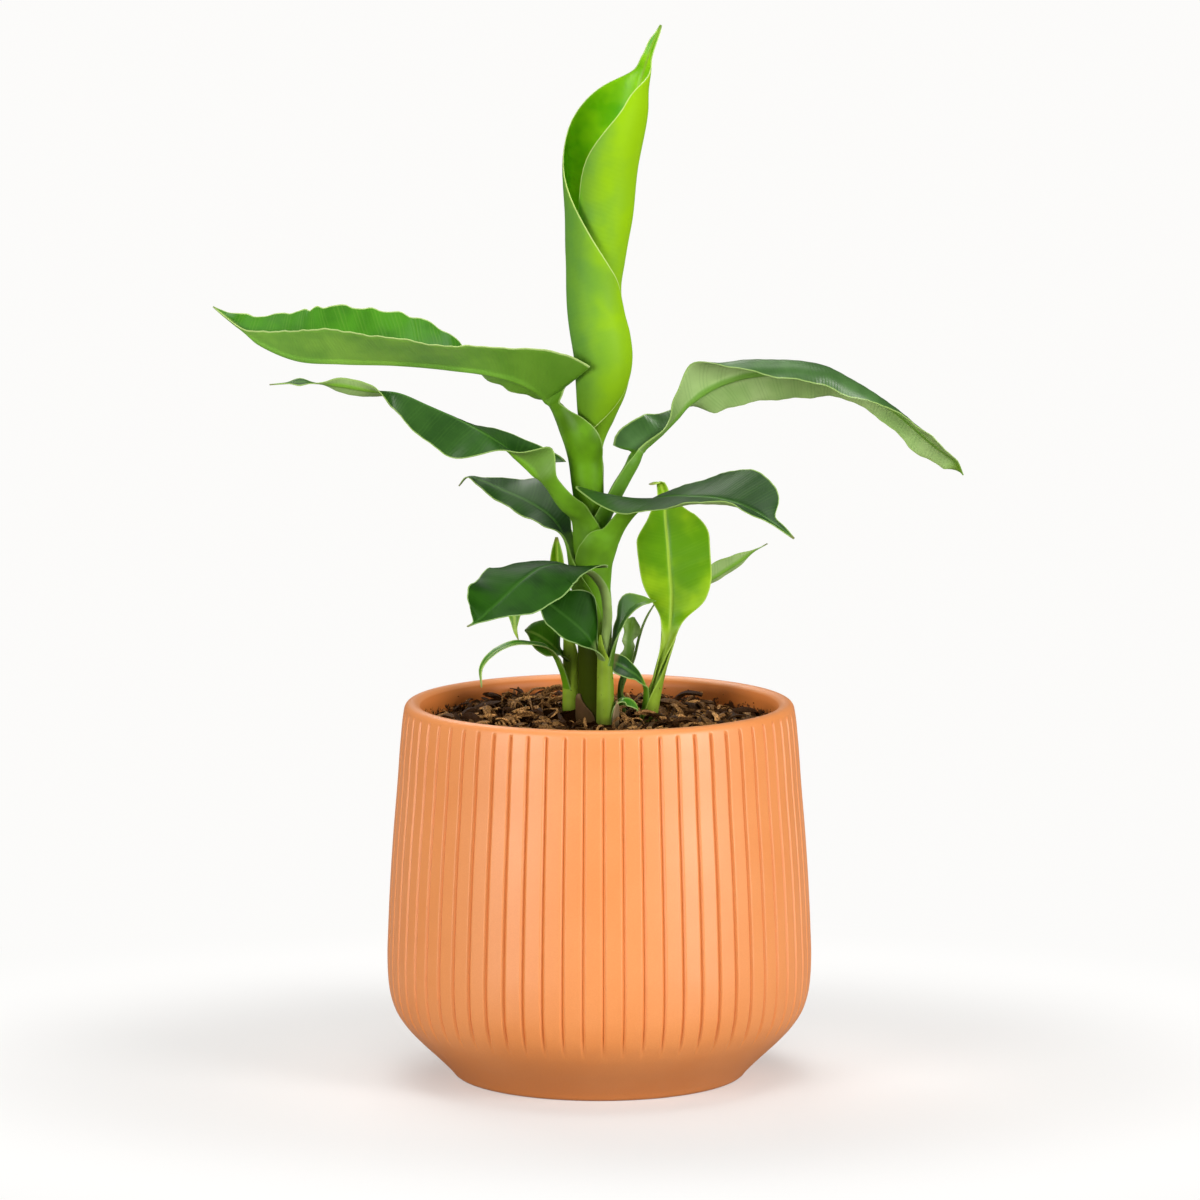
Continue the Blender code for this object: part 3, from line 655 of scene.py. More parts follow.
OLD = LeafFinish(
    name="old_leaf", slot="leaf_old", upper=(0.026, 0.096, 0.009), upper_deep=(0.010, 0.052, 0.004),
    under=(0.36, 0.52, 0.19), under_deep=(0.25, 0.41, 0.12), petiole=(0.15, 0.36, 0.014),
    midrib=(0.06, 0.17, 0.022), margin=(0.30, 0.46, 0.12), tip=(0.17, 0.15, 0.05), upper_gloss=0.36,
    under_gloss=0.45, vein_tone=0.18, relief=0.00005, sheen=0.25)
# The pale leaf's upper colours are partly its own grey-green and partly painted sheen, lighter and greyer
# than the old leaf's
PALE = replace(
    OLD, name="pale_leaf", upper=(0.060, 0.160, 0.032), upper_deep=(0.030, 0.098, 0.014), vein_tone=0.16,
    petiole=(0.100, 0.26, 0.010), tip=(0.15, 0.32, 0.01), tip_reach=13.0, sheen=0.55)
# A lighter copy of the mid-leaf colours: painted light on a leaf that sits in the front sucker's shade
MID_LIT = replace(MID, name="mid_lit_leaf", upper=(0.105, 0.30, 0.014), upper_deep=(0.06, 0.21, 0.008))
# The sheath rests take the young leaf's colours, with their painted light
SHEATH = replace(YOUNG, name="sheath_rest", margin=YOUNG.petiole, tip=YOUNG.petiole)
# A darker copy of the old-leaf colours for the front sucker's leaves: partly their own deep green and
# partly painted shade where they sit under the other leaves
DEEP_SHADED = LeafFinish(
    name="deep_shaded_leaf", slot="leaf_old", upper=(0.017, 0.078, 0.003), upper_deep=(0.006, 0.038, 0.001),
    under=(0.20, 0.32, 0.09), under_deep=(0.15, 0.26, 0.06), petiole=(0.27, 0.40, 0.11),
    midrib=(0.035, 0.12, 0.012), margin=(0.28, 0.44, 0.14), tip=(0.17, 0.15, 0.05), upper_gloss=0.42,
    under_gloss=0.48, vein_tone=0.12, relief=0.00005, sheen=0.07)
DRY = LeafFinish(
    name="dry_leaf", slot="leaf_dry", upper=(0.16, 0.09, 0.04), upper_deep=(0.08, 0.040, 0.017),
    under=(0.16, 0.09, 0.04), under_deep=(0.06, 0.03, 0.012), petiole=(0.125, 0.066, 0.026),
    midrib=(0.18, 0.11, 0.05), margin=(0.22, 0.14, 0.07), tip=(0.20, 0.13, 0.07), upper_gloss=0.7,
    under_gloss=0.75, vein_tone=0.3, sheen=0.2)
PAPER = LeafFinish(
    name="paper_leaf", slot="leaf_dry", upper=(0.40, 0.28, 0.15), upper_deep=(0.22, 0.14, 0.07),
    under=(0.42, 0.30, 0.17), under_deep=(0.20, 0.12, 0.06), petiole=(0.36, 0.25, 0.13),
    midrib=(0.40, 0.28, 0.15), margin=(0.48, 0.35, 0.20), tip=(0.30, 0.20, 0.10), upper_gloss=0.7,
    under_gloss=0.75, vein_tone=0.3, sheen=0.2)


@dataclass(frozen=True)
class Ripple:
    """Waves along a leaf's margins, in millimetres, and pleats across its blade."""

    left: float = 0.5
    right: float = 0.5
    length: float = 19.0
    phase: float = 0.0
    pleat: float = 0.08


@dataclass(frozen=True)
class Lobe:
    """A base lobe: how far, in millimetres, a half's margin is drawn back where the blade begins."""

    station: int = 0
    left: Triple = (0.0, 0.0, 0.0)
    right: Triple = (0.0, 0.0, 0.0)
    fade: float = 1.0


@dataclass(frozen=True)
class LeafPlan:
    """One leaf: its CAD node, its heading in degrees, its grid, wall, finish and stations."""

    name: str
    heading: float
    breadth: Breadth
    wall: float
    finish: LeafFinish
    stations: list[Station]
    ripple: Ripple = field(default_factory=Ripple)
    lobe: Lobe = field(default_factory=Lobe)
    slim: float = 0.0
    # Heights, in millimetres, between which the stem's foot darkens: stain near the soil, and on the main
    # stem painted shade as well
    stain: tuple[float, float] = (158.0, 174.0)


def wrapped(stem: Point, heading: float, z: float, radius: float, left: float, right: float,
            lean: float = 0.0) -> Station:
    """Level station of a sheath: an arc round the stem, its back towards the leaf's heading.

    Args:
        stem: Where the stem stands.
        heading: The leaf's direction, in degrees.
        z: Height.
        radius: Radius of the arc.
        left: Degrees that the left half wraps.
        right: Degrees that the right half wraps.
        lean: Shift along X.

    Returns:
        The station.
    """
    angle = math.radians(heading)
    return Station(stem[0] + lean + radius * math.cos(angle), stem[1] + radius * math.sin(angle), z, 0,
                   radius * math.radians(left), radius * math.radians(right), 0, 0, left, right, 1)


def rolled(middle: Point, z: float, outer: float, outer_turn: float, inner: float,
           inner_turn: float) -> Station:
    """Level station of the rolled leaf: the left half winds round outside the right half.

    Args:
        middle: Middle of the roll.
        z: Height.
        outer: Radius of the outer half.
        outer_turn: Degrees it winds.
        inner: Radius of the inner half.
        inner_turn: Degrees it winds.

    Returns:
        The station.
    """
    angle = math.radians(SPEAR_HEADING)
    return Station(middle[0] + outer * math.cos(angle), middle[1] + outer * math.sin(angle), z, 0,
                   outer * math.radians(outer_turn), inner * math.radians(inner_turn), 0, 0,
                   outer_turn, inner_turn, 1)


def sheath(stem: Point, heading: float, rows: list[tuple[float, ...]]) -> list[Station]:
    """Stations of a sheath, from (z, radius, left wrap, right wrap) rows and a lean along X."""
    return [wrapped(stem, heading, *row) for row in rows]


def blade(rows: list[tuple[float, ...]]) -> list[Station]:
    """Stations of a petiole and blade, from rows in the order of Station."""
    return [Station(*row, 0) for row in rows]


def main_leaves() -> list[LeafPlan]:
    """The main plant's leaves, innermost first, and the dry sheath left at its foot."""
    return [
        LeafPlan("main_spear_leaf", SPEAR_HEADING, Breadth.ROLLED, 0.7, SPEAR, sheath(MAIN, 50, [
            (STEM_FOOT, 2.7, 165, 165), (240, 2.6, 165, 165), (280, 3.4, 165, 165)]) + [
            rolled((-3.2, 8.9), 291, 3.8, 168, 3.2, 160),
            rolled((-2.8, 8.8), 297, 4.4, 178, 3.6, 160),
            rolled((-2.0, 8.6), 303, 6.0, 200, 4.8, 165),
            rolled((-1.2, 8.5), 307.5, 7.6, 228, 6.1, 168),
            rolled((-0.5, 8.5), 312, 9.0, 252, 7.2, 172),
            rolled((0.9, 8.5), 319, 10.9, 274, 8.8, 177),
            rolled((1.8, 8.5), 326.5, 12.2, 290, 9.8, 182),
            rolled((2.0, 8.5), 337.5, 13.2, 305, 10.4, 186),
            rolled((0.6, 8.5), 348, 13.5, 308, 10.6, 190),
            rolled((-1.4, 8.5), 359.5, 12.9, 302, 10.2, 195),
            rolled((-2.2, 8.5), 371, 12.6, 284, 10.4, 200),
            rolled((-1.5, 8.5), 381, 13.4, 248, 11.2, 200),
            rolled((-1.0, 8.5), 389, 14.2, 224, 12, 200),
            rolled((0.3, 8), 404, 15.7, 185, 13.2, 200),
            rolled((0.9, 7.5), 427, 17.5, 135, 15, 180),
            rolled((4.5, 7.5), 452, 19, 90, 15, 132),
            rolled((7, 7), 463.5, 18, 56, 11, 108),
            rolled((13, 11), 471, 12, 25, 8, 60)] + blade([
            (22.6, 17.5, 477, 0, 3.1, 3.1, 0, 0, 30, 30),
            (24.9, 16.5, 483.5, 0, 2.5, 2.5, 0, 0, 30, 30),
            (27, 15.5, 488, 0, 1.5, 1.5, 0, 0, 20, 20),
            (28.5, 15, 492, 0, 0.6, 0.6, 0, 0, 0, 0)]), Ripple(0.0, 0.0, 40, 0, 0.0)),
        LeafPlan("main_upper_left_leaf", 176, Breadth.BROAD, 0.7, MID, sheath(MAIN, 176, [
            (STEM_FOOT, 4.1, 165, 165), (200, 4.0, 165, 165), (236, 4.2, 165, 165),
            (252, 5.3, 165, 165, -0.3), (264, 6.0, 165, 165, -0.9), (279, 7.0, 165, 165, -2.0),
            (289, 7.5, 165, 165, -2.8)]) + blade([
            (-15.5, 9, 296, 0, 23.5, 21, 0, 0, 130, 130),
            (-17.8, 9.5, 302.5, 0, 20.5, 16, 0, 0, 110, 100),
            (-20, 10.5, 308.5, 0, 14.5, 11, 0, 0, 88, 80),
            (-22.5, 11, 314, 0, 10.5, 8, 0, 0, 69, 60),
            (-24.8, 11, 317.2, 0, 12, 6, 62, 20, 10, 10),
            (-26, 11, 318.5, 0, 22.5, 5, 52, -20, 0, 0),
            (-35, 12, 325, 0, 19, 7.5, 56, -52, -5, 0),
            (-49, 13, 329.5, 0, 20.5, 9, 48, -35, -10, 5),
            (-70, 15, 332.5, 5, 24, 20, 40, 26, -10, 10),
            (-95, 17, 334.5, 0, 26, 27, 32, 50, 0, 5),
            (-121, 19, 335, 0, 27, 28, 38, 58, 0, 5),
            (-142, 20, 336.5, 0, 22, 25, 42, 62, 0, 5),
            (-158, 22, 343, 0, 10, 17, 45, 65, 0, 5),
            (-168.5, 24, 350, 0, 2, 8, 20, 70, 0, 0),
            (-181, 26, 360, 0, 0.6, 0.6, 0, 0, 0, 0)]), Ripple(0.2, 0.65, 13.0, 0.6, 0.15),
            Lobe(12, left=(9.5, -5.0, 4.5), fade=30.0)),
        LeafPlan("main_upper_right_leaf", 8, Breadth.BROAD, 0.7, PALE, sheath(MAIN, 8, [
            (STEM_FOOT, 5.4, 165, 165), (200, 5.3, 165, 165), (236, 5.5, 150, 150), (244, 6.2, 110, 135),
            (252, 6.9, 80, 120), (261, 8.2, 60, 100)]) + blade([
            (9, 9, 270.5, 0, 9, 12, 0, 0, 65, 85),
            (14.5, 9, 281, 0, 7.5, 9.5, 0, 0, 80, 95),
            (18.5, 9.5, 288.5, 0, 6.5, 7.5, 20, 0, 65, 90),
            (19.9, 9.9, 292.2, 0, 5, 4.5, 60, 15, 20, 70),
            (20.5, 10, 293.5, 0, 9, 3.5, 84, 30, 0, 50),
            (24.5, 10, 297.5, 0, 12.5, 3, 84, 30, 5, 30),
            (29, 10, 301.5, -4, 12.5, 3, 82, 30, 10, 10),
            (34.5, 11, 307.5, 8, 7, 5, 60, 33, 10, -10),
            (41.5, 11, 315.5, 35, 6, 11, 10, 32, 0, -20),
            (49.5, 12, 321.5, 40, 15, 18, -20, 42, 0, -40),
            (63.5, 13, 327.5, 40, 16, 23, -20, 42, 0, -120),
            (82, 15, 330, 40, 17, 25, -15, 36, 0, -158),
            (101, 17, 328.5, 40, 14, 24.5, -15, 33, 0, -164),
            (117.5, 19, 323.5, 30, 9, 20, -20, 20, 0, -135),
            (136.5, 21, 313.5, 20, 8, 10, -55, 5, 0, -60),
            (148, 22.3, 304, 18, 8.3, 8.5, -60, 0, 0, -25),
            (155.5, 23, 297.3, 15, 9.5, 8, -62, 0, 5, -10),
            (163, 24, 291.5, 5, 7.5, 6, -65, 0, 5, 0),
            (168, 24.5, 287.5, 0, 7, 3, -70, 0, 0, 0),
            (171.5, 25, 280.5, 0, 0.6, 0.6, 0, 0, 0, 0)]), Ripple(0.4, 0.4, 19.0, 0.0, 0.10),
            Lobe(10, left=(-6.5, 0, -1.5), fade=12.0)),
        LeafPlan("main_lower_left_leaf", 192, Breadth.BROAD, 0.7, OLD, sheath(MAIN, 192, [
            (STEM_FOOT, 6.7, 165, 165), (200, 6.6, 165, 165), (236, 6.8, 160, 150), (244, 7.6, 140, 125),
            (252, 8.1, 120, 100), (262, 9.4, 90, 75)]) + blade([
            (-17.5, 4, 267, 0, 13, 11, 0, 0, 90, 65),
            (-25.5, 0, 279, 0, 9, 9, 10, 10, 70, 50),
            (-32.5, -3, 287, 5, 14, 12, 80, 48, 0, 0),
            (-42.5, -7, 296.5, 15, 6, 14, 20, 15, -10, 0),
            (-62, -12, 309.5, 30, 18, 9, -60, -25, -10, -10),
            (-79.5, -14, 318, 35, 14.5, 10, -60, -50, -5, -10),
            (-94, -15, 324, 30, 8, 8, -48, -45, 0, -10),
            (-105.5, -16, 325, 5, 4.6, 6.5, 35, -40, 0, 0),
            (-120, -17, 327.5, -5, 4.6, 5, 48, -40, 0, 0),
            (-131.5, -18, 328.5, 0, 1.5, 1.5, 0, 0, 0, 0),
            (-138.5, -18, 329, 0, 3, 3, -30, 30, 0, 0),
            (-145.5, -19, 328.5, 0, 1.5, 1.2, 0, 0, 0, 0),
            (-152.5, -20, 328, 0, 0.6, 0.6, 0, 0, 0, 0)]), Ripple(0.3, 0.3, 21.0, 0.5),
            Lobe(8, right=(12.5, 2.0, -6.0), fade=24.0)),
        LeafPlan("main_front_right_leaf", -48, Breadth.BROAD, 0.7, OLD, sheath(MAIN, -48, [
            (STEM_FOOT, 8.0, 165, 165), (200, 7.9, 160, 160), (228, 8.1, 140, 140), (234.5, 8.5, 115, 120),
            (241, 9.2, 90, 100)]) + blade([
            (4.5, 1.5, 246.5, 0, 11, 15, 0, 0, 70, 80),
            (6, 0.5, 251, 0, 9.5, 13, 0, 0, 65, 75),
            (8, 0.5, 255, 0, 8, 8, 0, 0, 60, 60),
            (13, -3, 263, 0, 7, 7, 0, 0, 50, 50),
            (18.8, -9.2, 269.6, 0, 7.5, 7.5, 0, 0, 35, 35),
            (20.5, -11, 271.5, 0, 8, 18, 6, 2, 10, 0),
            (31, -26, 276.5, 0, 12, 29, 20, -11, 0, 0),
            (42.5, -42, 278.5, 0, 19, 24, 27, -13, 0, 4),
            (56, -56, 279, 0, 21, 20, 35, -11, 0, 22),
            (67.5, -67, 276.6, 0, 17.5, 14, 36, 2, 0, 26),
            (73.5, -72.5, 274, 0, 12, 9, 32, 6, 0, 10),
            (77.5, -76, 271.5, 0, 4, 3.6, 20, 10, 0, 0),
            (83, -79.5, 268, 0, 2.6, 2.2, 10, 10, 0, 0),
            (88.5, -82, 264, 0, 0.6, 0.6, 0, 0, 0, 0)]), Ripple(0.3, 0.3, 21.0, 1.0),
            Lobe(10, right=(-16.5, 12, 7.5), fade=26.0)),
        LeafPlan("main_back_left_leaf", 160, Breadth.BROAD, 0.7, OLD, sheath(MAIN, 160, [
            (STEM_FOOT, 9.3, 160, 160), (200, 9.2, 150, 150), (228, 9.5, 110, 130), (235, 10.0, 85, 105),
            (242, 10.6, 60, 80)]) + blade([
            (-15.5, 17, 250.5, 0, 5, 6, 0, 0, 40, 50),
            (-21.5, 21, 260, 10, 9, 11, -10, 20, 0, 0),
            (-32.5, 26, 267.5, 15, 9, 21, -20, 15, -10, 0),
            (-45.5, 31, 273, 15, 7, 15, -25, 0, -10, 0),
            (-55.5, 34, 277, 10, 4, 4, -30, 0, 0, 0),
            (-62.5, 36, 278.5, 0, 2, 2, 0, 0, 0, 0),
            (-66.5, 37, 274, 0, 0.6, 0.6, 0, 0, 0, 0)])),
        LeafPlan("main_dry_sheath", 215, Breadth.NARROW, 0.7, DRY, sheath(MAIN, 215, [
            (STEM_FOOT, 10.6, 60, 95), (166, 10.6, 56, 88), (171, 10.7, 46, 66), (174.5, 10.7, 24, 50),
            (177, 10.6, 10, 30), (179.5, 10.5, 2, 8)]), Ripple(0.0, 0.0, 9.0, 0.0, 0.0)),
    ]


def base_sheaths() -> list[LeafPlan]:
    """Short rests of old sheaths round the suckers, which only the look needs."""
    return [
        LeafPlan("front_sucker_base_sheath", 222, Breadth.NARROW, 0.6, SHEATH, sheath(FRONT, 222, [
            (STEM_FOOT, 3.7, 150, 150), (172, 3.6, 150, 150), (184, 3.4, 140, 120), (195, 3.2, 95, 75),
            (203, 3.0, 40, 30), (209, 2.8, 6, 5)]), Ripple(0, 0, 20, 0, 0)),
        LeafPlan("left_sucker_base_sheath", 205, Breadth.NARROW, 0.6, SHEATH, sheath(LEFT, 205, [
            (STEM_FOOT, 4.0, 150, 150), (172, 3.8, 150, 150), (190, 3.6, 130, 130), (203, 3.4, 80, 70),
            (211, 3.2, 10, 8)]), Ripple(0, 0, 20, 0, 0)),
        LeafPlan("right_sucker_sheath_tip", 15, Breadth.NARROW, 0.6, YOUNG, sheath(RIGHT, 15, [
            (STEM_FOOT, 3.9, 155, 150), (165, 3.8, 150, 145, 0.8), (176, 3.6, 125, 125, 2.6)]) + blade([
            (31, 13, 190, 0, 4, 3.6, 0, 0, 60, 60),
            (33.4, 13.4, 198, 0, 2, 2, 0, 0, 40, 40),
            (35.6, 13.6, 204.5, 0, 0.4, 0.4, 0, 0, 0, 0)]), Ripple(0, 0, 20, 0, 0)),
        LeafPlan("papery_flap", -30, Breadth.NARROW, 0.4, PAPER, sheath(FRONT, -30, [
            (158, 4.9, 28, 30, 0.6), (168, 5.2, 26, 34, 0.9), (175, 5.0, 18, 22, 1.2),
            (178, 4.7, 4, 6, 1.4)]),
            Ripple(0, 0, 8, 0, 0)),
    ]


def front_sucker_leaves() -> list[LeafPlan]:
    """The sucker in front of the main stem, and a leaf of it that was cut back."""
    return [
        LeafPlan("front_sucker_broad_leaf", 235, Breadth.BROAD, 0.6, DEEP_SHADED, sheath(FRONT, 235, [
            (STEM_FOOT, 0.9, 155, 155), (190, 0.9, 155, 155), (206, 1.3, 130, 130)]) + blade([
            (3.0, -7.6, 219, 0, 3.0, 3.0, 0, 0, 95, 95),
            (0.4, -8.6, 232.5, 0, 2.7, 2.7, 0, 0, 70, 70),
            (-5.4, -8.9, 238.6, 0, 2.6, 2.2, 0, 0, 40, 40),
            (-8, -9, 239.5, 0, 16.5, 4, 0, 10, 0, 10),
            (-14.5, -10.5, 242.5, 0, 18.5, 9, -8, 10, 0, 0),
            (-25, -17, 243, 0, 20.5, 16, -13, 6, -8, -16),
            (-35, -29, 238.5, 0, 21, 20, -17, 15, -10, -14),
            (-44.5, -40, 231, 0, 17, 16.5, -16, 28, -8, -10),
            (-51.5, -48, 225.5, 0, 8, 13, -14, 50, 0, 0),
            (-55, -51.5, 222.6, 0, 3, 8.5, -10, 62, 0, 0),
            (-57.2, -53.2, 221.2, 0, 1.2, 1.4, 0, 20, 0, 0),
            (-60.5, -56, 220, 0, 0.6, 0.6, 0, 0, 0, 0)]), Ripple(0.4, 0.4, 19.0, 0.0),
            Lobe(6, left=(8.5, 0.5, -2.5), fade=14.0)),
        LeafPlan("front_sucker_low_leaf", 190, Breadth.BROAD, 0.6, DEEP_SHADED, sheath(FRONT, 190, [
            (STEM_FOOT, 1.9, 150, 150), (186, 1.9, 140, 140), (195, 2.2, 100, 100)]) + blade([
            (-2, -8, 203, 20, 5, 4, 0, 0, 40, 40),
            (-6, -9.5, 209.5, 50, 7, 10, -20, 10, 0, 0),
            (-12, -10.5, 215.5, 58, 9, 17, -20, 10, 0, 0),
            (-19, -10.5, 221, 58, 9, 13, -20, 10, 0, 0),
            (-24.5, -10, 225.5, 50, 5, 6, -20, 10, 0, 0),
            (-28.5, -9, 229, 50, 0.6, 0.6, 0, 0, 0, 0)])),
        LeafPlan("front_sucker_right_leaf", 10, Breadth.NARROW, 0.6, PALE, sheath(FRONT, 10, [
            (STEM_FOOT, 2.9, 130, 130), (186, 2.9, 120, 120), (193, 3.1, 90, 90)]) + blade([
            (7.5, -4, 204, 0, 4, 4, 0, 0, 50, 50),
            (10.5, -3, 214.5, -20, 3.4, 3, 30, 10, 0, 0),
            (15, -2, 221.5, -20, 7, 3, 50, -20, 0, 0),
            (21, 0, 224, 0, 3.5, 3, 40, -20, 0, 0),
            (26.5, 2, 224, 0, 0.6, 0.6, 0, 0, 0, 0)])),
        LeafPlan("front_sucker_stub", 5, Breadth.NARROW, 0.6, MID, sheath(FRONT, 5, [
            (STEM_FOOT, 3.9, 60, 60), (170, 3.9, 55, 55)]) + blade([
            (8.3, -4.2, 176, 0, 3.6, 4, 0, 0, 30, 30),
            (10.8, -3.2, 178.6, 0, 3.2, 4.6, 0, -30, 0, -10),
            (14.2, -2.2, 178.4, 0, 3, 4.8, 0, -38, 0, -20),
            (17.2, -1.6, 176, 0, 2.2, 3.6, 0, -45, 0, -20),
            (18.4, -1.4, 172.8, 0, 1.3, 1.8, 0, -20, 0, 0),
            (17.4, -1.6, 170.6, 0, 0.6, 0.6, 0, 0, 0, 0)])),
    ]


def left_sucker_leaves() -> list[LeafPlan]:
    """The sucker behind and to the left of the main stem."""
    return [
        LeafPlan("left_sucker_spear_leaf", 100, Breadth.NARROW, 0.6, YOUNG, sheath(LEFT, 100, [
            (STEM_FOOT, 0.3, 150, 150), (200, 0.3, 150, 150)]) + blade([
            (-13.4, 21.5, 214, 0, 1.6, 1.6, 0, 0, 100, 100),
            (-16, 21, 227, 0, 2, 2, 0, 0, 60, 60),
            (-19.5, 20, 237.5, 0, 3.8, 3.2, 15, 15, 0, 0),
            (-20, 20.5, 244, 0, 2.9, 2.6, 15, 15, 0, 0),
            (-20, 21, 251.5, 0, 0.6, 0.6, 0, 0, 0, 0)])),
        LeafPlan("left_sucker_hanging_leaf", 180, Breadth.NARROW, 0.6, YOUNG, sheath(LEFT, 180, [
            (STEM_FOOT, 1.3, 150, 150), (197, 1.3, 140, 140)]) + blade([
            (-16.3, 20, 207, 0, 2.6, 2.6, 0, 0, 90, 90),
            (-20.5, 19, 219, 0, 3, 3, 0, 0, 40, 40),
            (-28, 17, 230, 0, 6, 6, 10, 10, 0, 0),
            (-36.5, 13, 226.5, 30, 7, 7, 0, 0, -20, -20),
            (-40, 10, 218.5, 60, 4.5, 4.5, -10, -10, -20, -20),
            (-39.8, 8.8, 213.6, 75, 2.2, 2.2, 0, 0, 0, 0),
            (-39.6, 8, 209.5, 75, 1.1, 1.1, 0, 0, 0, 0),
            (-38, 7, 204, 0, 0.6, 0.6, 0, 0, 0, 0)])),
        LeafPlan("left_sucker_short_leaf", 188, Breadth.NARROW, 0.6, MID_LIT, sheath(LEFT, 188, [
            (STEM_FOOT, 2.3, 150, 150), (184, 2.3, 140, 140), (192, 2.6, 90, 90)]) + blade([
            (-18, 17.5, 196.5, 10, 4, 4, 0, 0, 30, 30),
            (-21.8, 16.2, 200.8, 38, 7, 10, -15, 5, 0, 0),
            (-26.5, 15, 204.6, 42, 7.5, 11, -20, 5, 0, 0),
            (-31, 14, 207.2, 38, 5.5, 7, -20, 5, 0, 0),
            (-35, 13, 208.4, 20, 0.6, 0.6, 0, 0, 0, 0)])),
        LeafPlan("left_sucker_arching_leaf", 200, Breadth.NARROW, 0.6, MID, sheath(LEFT, 200, [
            (STEM_FOOT, 3.3, 140, 140), (170, 3.3, 110, 110), (179, 3.5, 70, 70)]) + blade([
            (-19, 14, 191, 0, 3.4, 3.4, 0, 0, 50, 50),
            (-23, 9, 199.5, 5, 4, 4.2, 10, 10, 0, 0),
            (-31, 2, 203.5, 10, 3, 3, 10, 10, 0, 0),
            (-41, -7, 204.5, 10, 3, 3, 10, 10, 0, 0),
            (-50, -15, 201, 10, 2.6, 2.6, 10, 10, 0, 0),
            (-55, -20, 194.5, 0, 2, 2, 10, 10, 0, 0),
            (-55, -22, 186.5, 0, 0.6, 0.6, 0, 0, 0, 0)])),
    ]


def right_sucker_leaves() -> list[LeafPlan]:
    """The sucker on the right, which leans out, with its broad upright leaf."""
    return [
        LeafPlan("right_sucker_spade_leaf", 80, Breadth.BROAD, 0.6, YOUNG, sheath(RIGHT, 80, [
            (STEM_FOOT, 0.6, 155, 155), (162, 0.6, 155, 155), (175, 0.7, 155, 155, 2.0),
            (189.5, 1.0, 150, 150, 5.5)]) + blade([
            (32.5, 14, 204.5, 0, 3.5, 3.5, 0, 0, 60, 60),
            (33.5, 14, 214, 0, 5, 7, 16, 6, -6, -6),
            (34, 15, 222.5, 0, 10, 16, 14, 3, -6, -6),
            (33, 16, 236.5, 0, 14, 20, 12, 2, -6, -6),
            (32, 17, 250.5, 0, 14.5, 20, 12, 0, -6, -6),
            (31, 18, 262, 0, 8, 14, 12, 2, -6, -6),
            (30.5, 18, 270.5, 0, 3.5, 4, 20, 10, 0, 0),
            (28, 17, 277.5, 0, 2, 2, 0, 0, 0, 0),
            (23.5, 15, 277, 0, 0.6, 0.6, 0, 0, 0, 0)])),
        LeafPlan("right_sucker_narrow_leaf", 25, Breadth.NARROW, 0.6, OLD, sheath(RIGHT, 25, [
            (STEM_FOOT, 1.6, 150, 150), (162, 1.6, 150, 150), (175, 1.7, 140, 140, 2.0),
            (183, 1.9, 100, 100, 4.0)]) + blade([
            (31.8, 17.5, 197, 0, 2.2, 2.2, 0, 0, 60, 60),
            (34.5, 21, 213, 0, 2, 2, 0, 0, 50, 50),
            (41, 24, 223.5, 10, 2.2, 2.4, 0, 5, 20, 20),
            (48.5, 26, 228.5, 30, 4, 5, 0, 10, 0, 0),
            (57, 29, 233.5, 50, 5, 7, 0, 20, 0, 0),
            (65.5, 32, 238.5, 50, 4, 5, 0, 20, 0, 0),
            (72.5, 35, 243, 40, 1.5, 1.5, 0, 0, 0, 0),
            (79.5, 37, 246.5, 0, 0.6, 0.6, 0, 0, 0, 0)])),
        LeafPlan("right_sucker_low_leaf", 190, Breadth.NARROW, 0.6, OLD, sheath(RIGHT, 190, [
            (STEM_FOOT, 2.6, 110, 110), (162, 2.6, 100, 100), (171, 2.7, 80, 80, 1.2)]) + blade([
            (21, 8, 182.5, 0, 3, 3, 0, 0, 60, 60),
            (18.5, 5, 187.5, 25, 2.8, 3.6, -20, 5, 0, 0),
            (14, 2.2, 191, 45, 4.4, 5, -20, 5, 0, 0),
            (10, 1, 193.6, 50, 5, 5.6, -15, 5, 0, 0),
            (6, 0.8, 195.5, 50, 4, 4.4, -10, 5, 0, 0)])),
    ]


def back_sucker_leaves() -> list[LeafPlan]:
    """The thin sucker at the back, with a ragged leaf and a bare stalk."""
    return [
        LeafPlan("back_sucker_stalk", 20, Breadth.NARROW, 0.6, MID, sheath(BACK, 20, [
            (STEM_FOOT, 0.3, 150, 150), (180, 0.3, 150, 150)]) + blade([
            (16.5, 28, 193, 0, 1, 1, 0, 0, 60, 60),
            (19, 28, 203.5, 0, 1, 1, 0, 0, 40, 40),
            (22.5, 29, 213, 0, 1, 1, 0, 0, 0, 0),
            (26.5, 30, 219.5, 0, 0.6, 0.6, 0, 0, 0, 0)])),
        LeafPlan("back_sucker_ragged_leaf", 170, Breadth.NARROW, 0.6, PALE, sheath(BACK, 170, [
            (STEM_FOOT, 2.0, 130, 130), (172, 1.9, 120, 120), (177, 1.8, 80, 80)]) + blade([
            (9.6, 26, 181, 0, 2.6, 2.6, 0, 0, 60, 60),
            (12.3, 25, 189, -60, 2, 2, 0, 0, 40, 40),
            (14, 24.3, 195.4, -120, 2.4, 4.4, 0, 0, 0, 0),
            (13.8, 24, 199, -120, 3.2, 2.2, 0, 0, 0, 0),
            (14, 24, 201.8, -120, 2.2, 3.6, 0, 0, 0, 0),
            (14.4, 24.2, 205.6, -120, 5.2, 2.8, 0, 0, 0, 0),
            (15, 24.6, 209.4, -120, 4.6, 4.4, 0, 0, 0, 0),
            (16, 25, 213, -120, 0.6, 0.6, 0, 0, 0, 0)]), Ripple(0.6, 0.6, 5.2, 0.4, 0.3)),
    ]


def deselect() -> None:
    """Deselect every object, so that an operator meets only what it should."""
    if bpy.context.object and bpy.context.object.mode != "OBJECT":
        bpy.ops.object.mode_set(mode="OBJECT")
    bpy.ops.object.select_all(action="DESELECT")


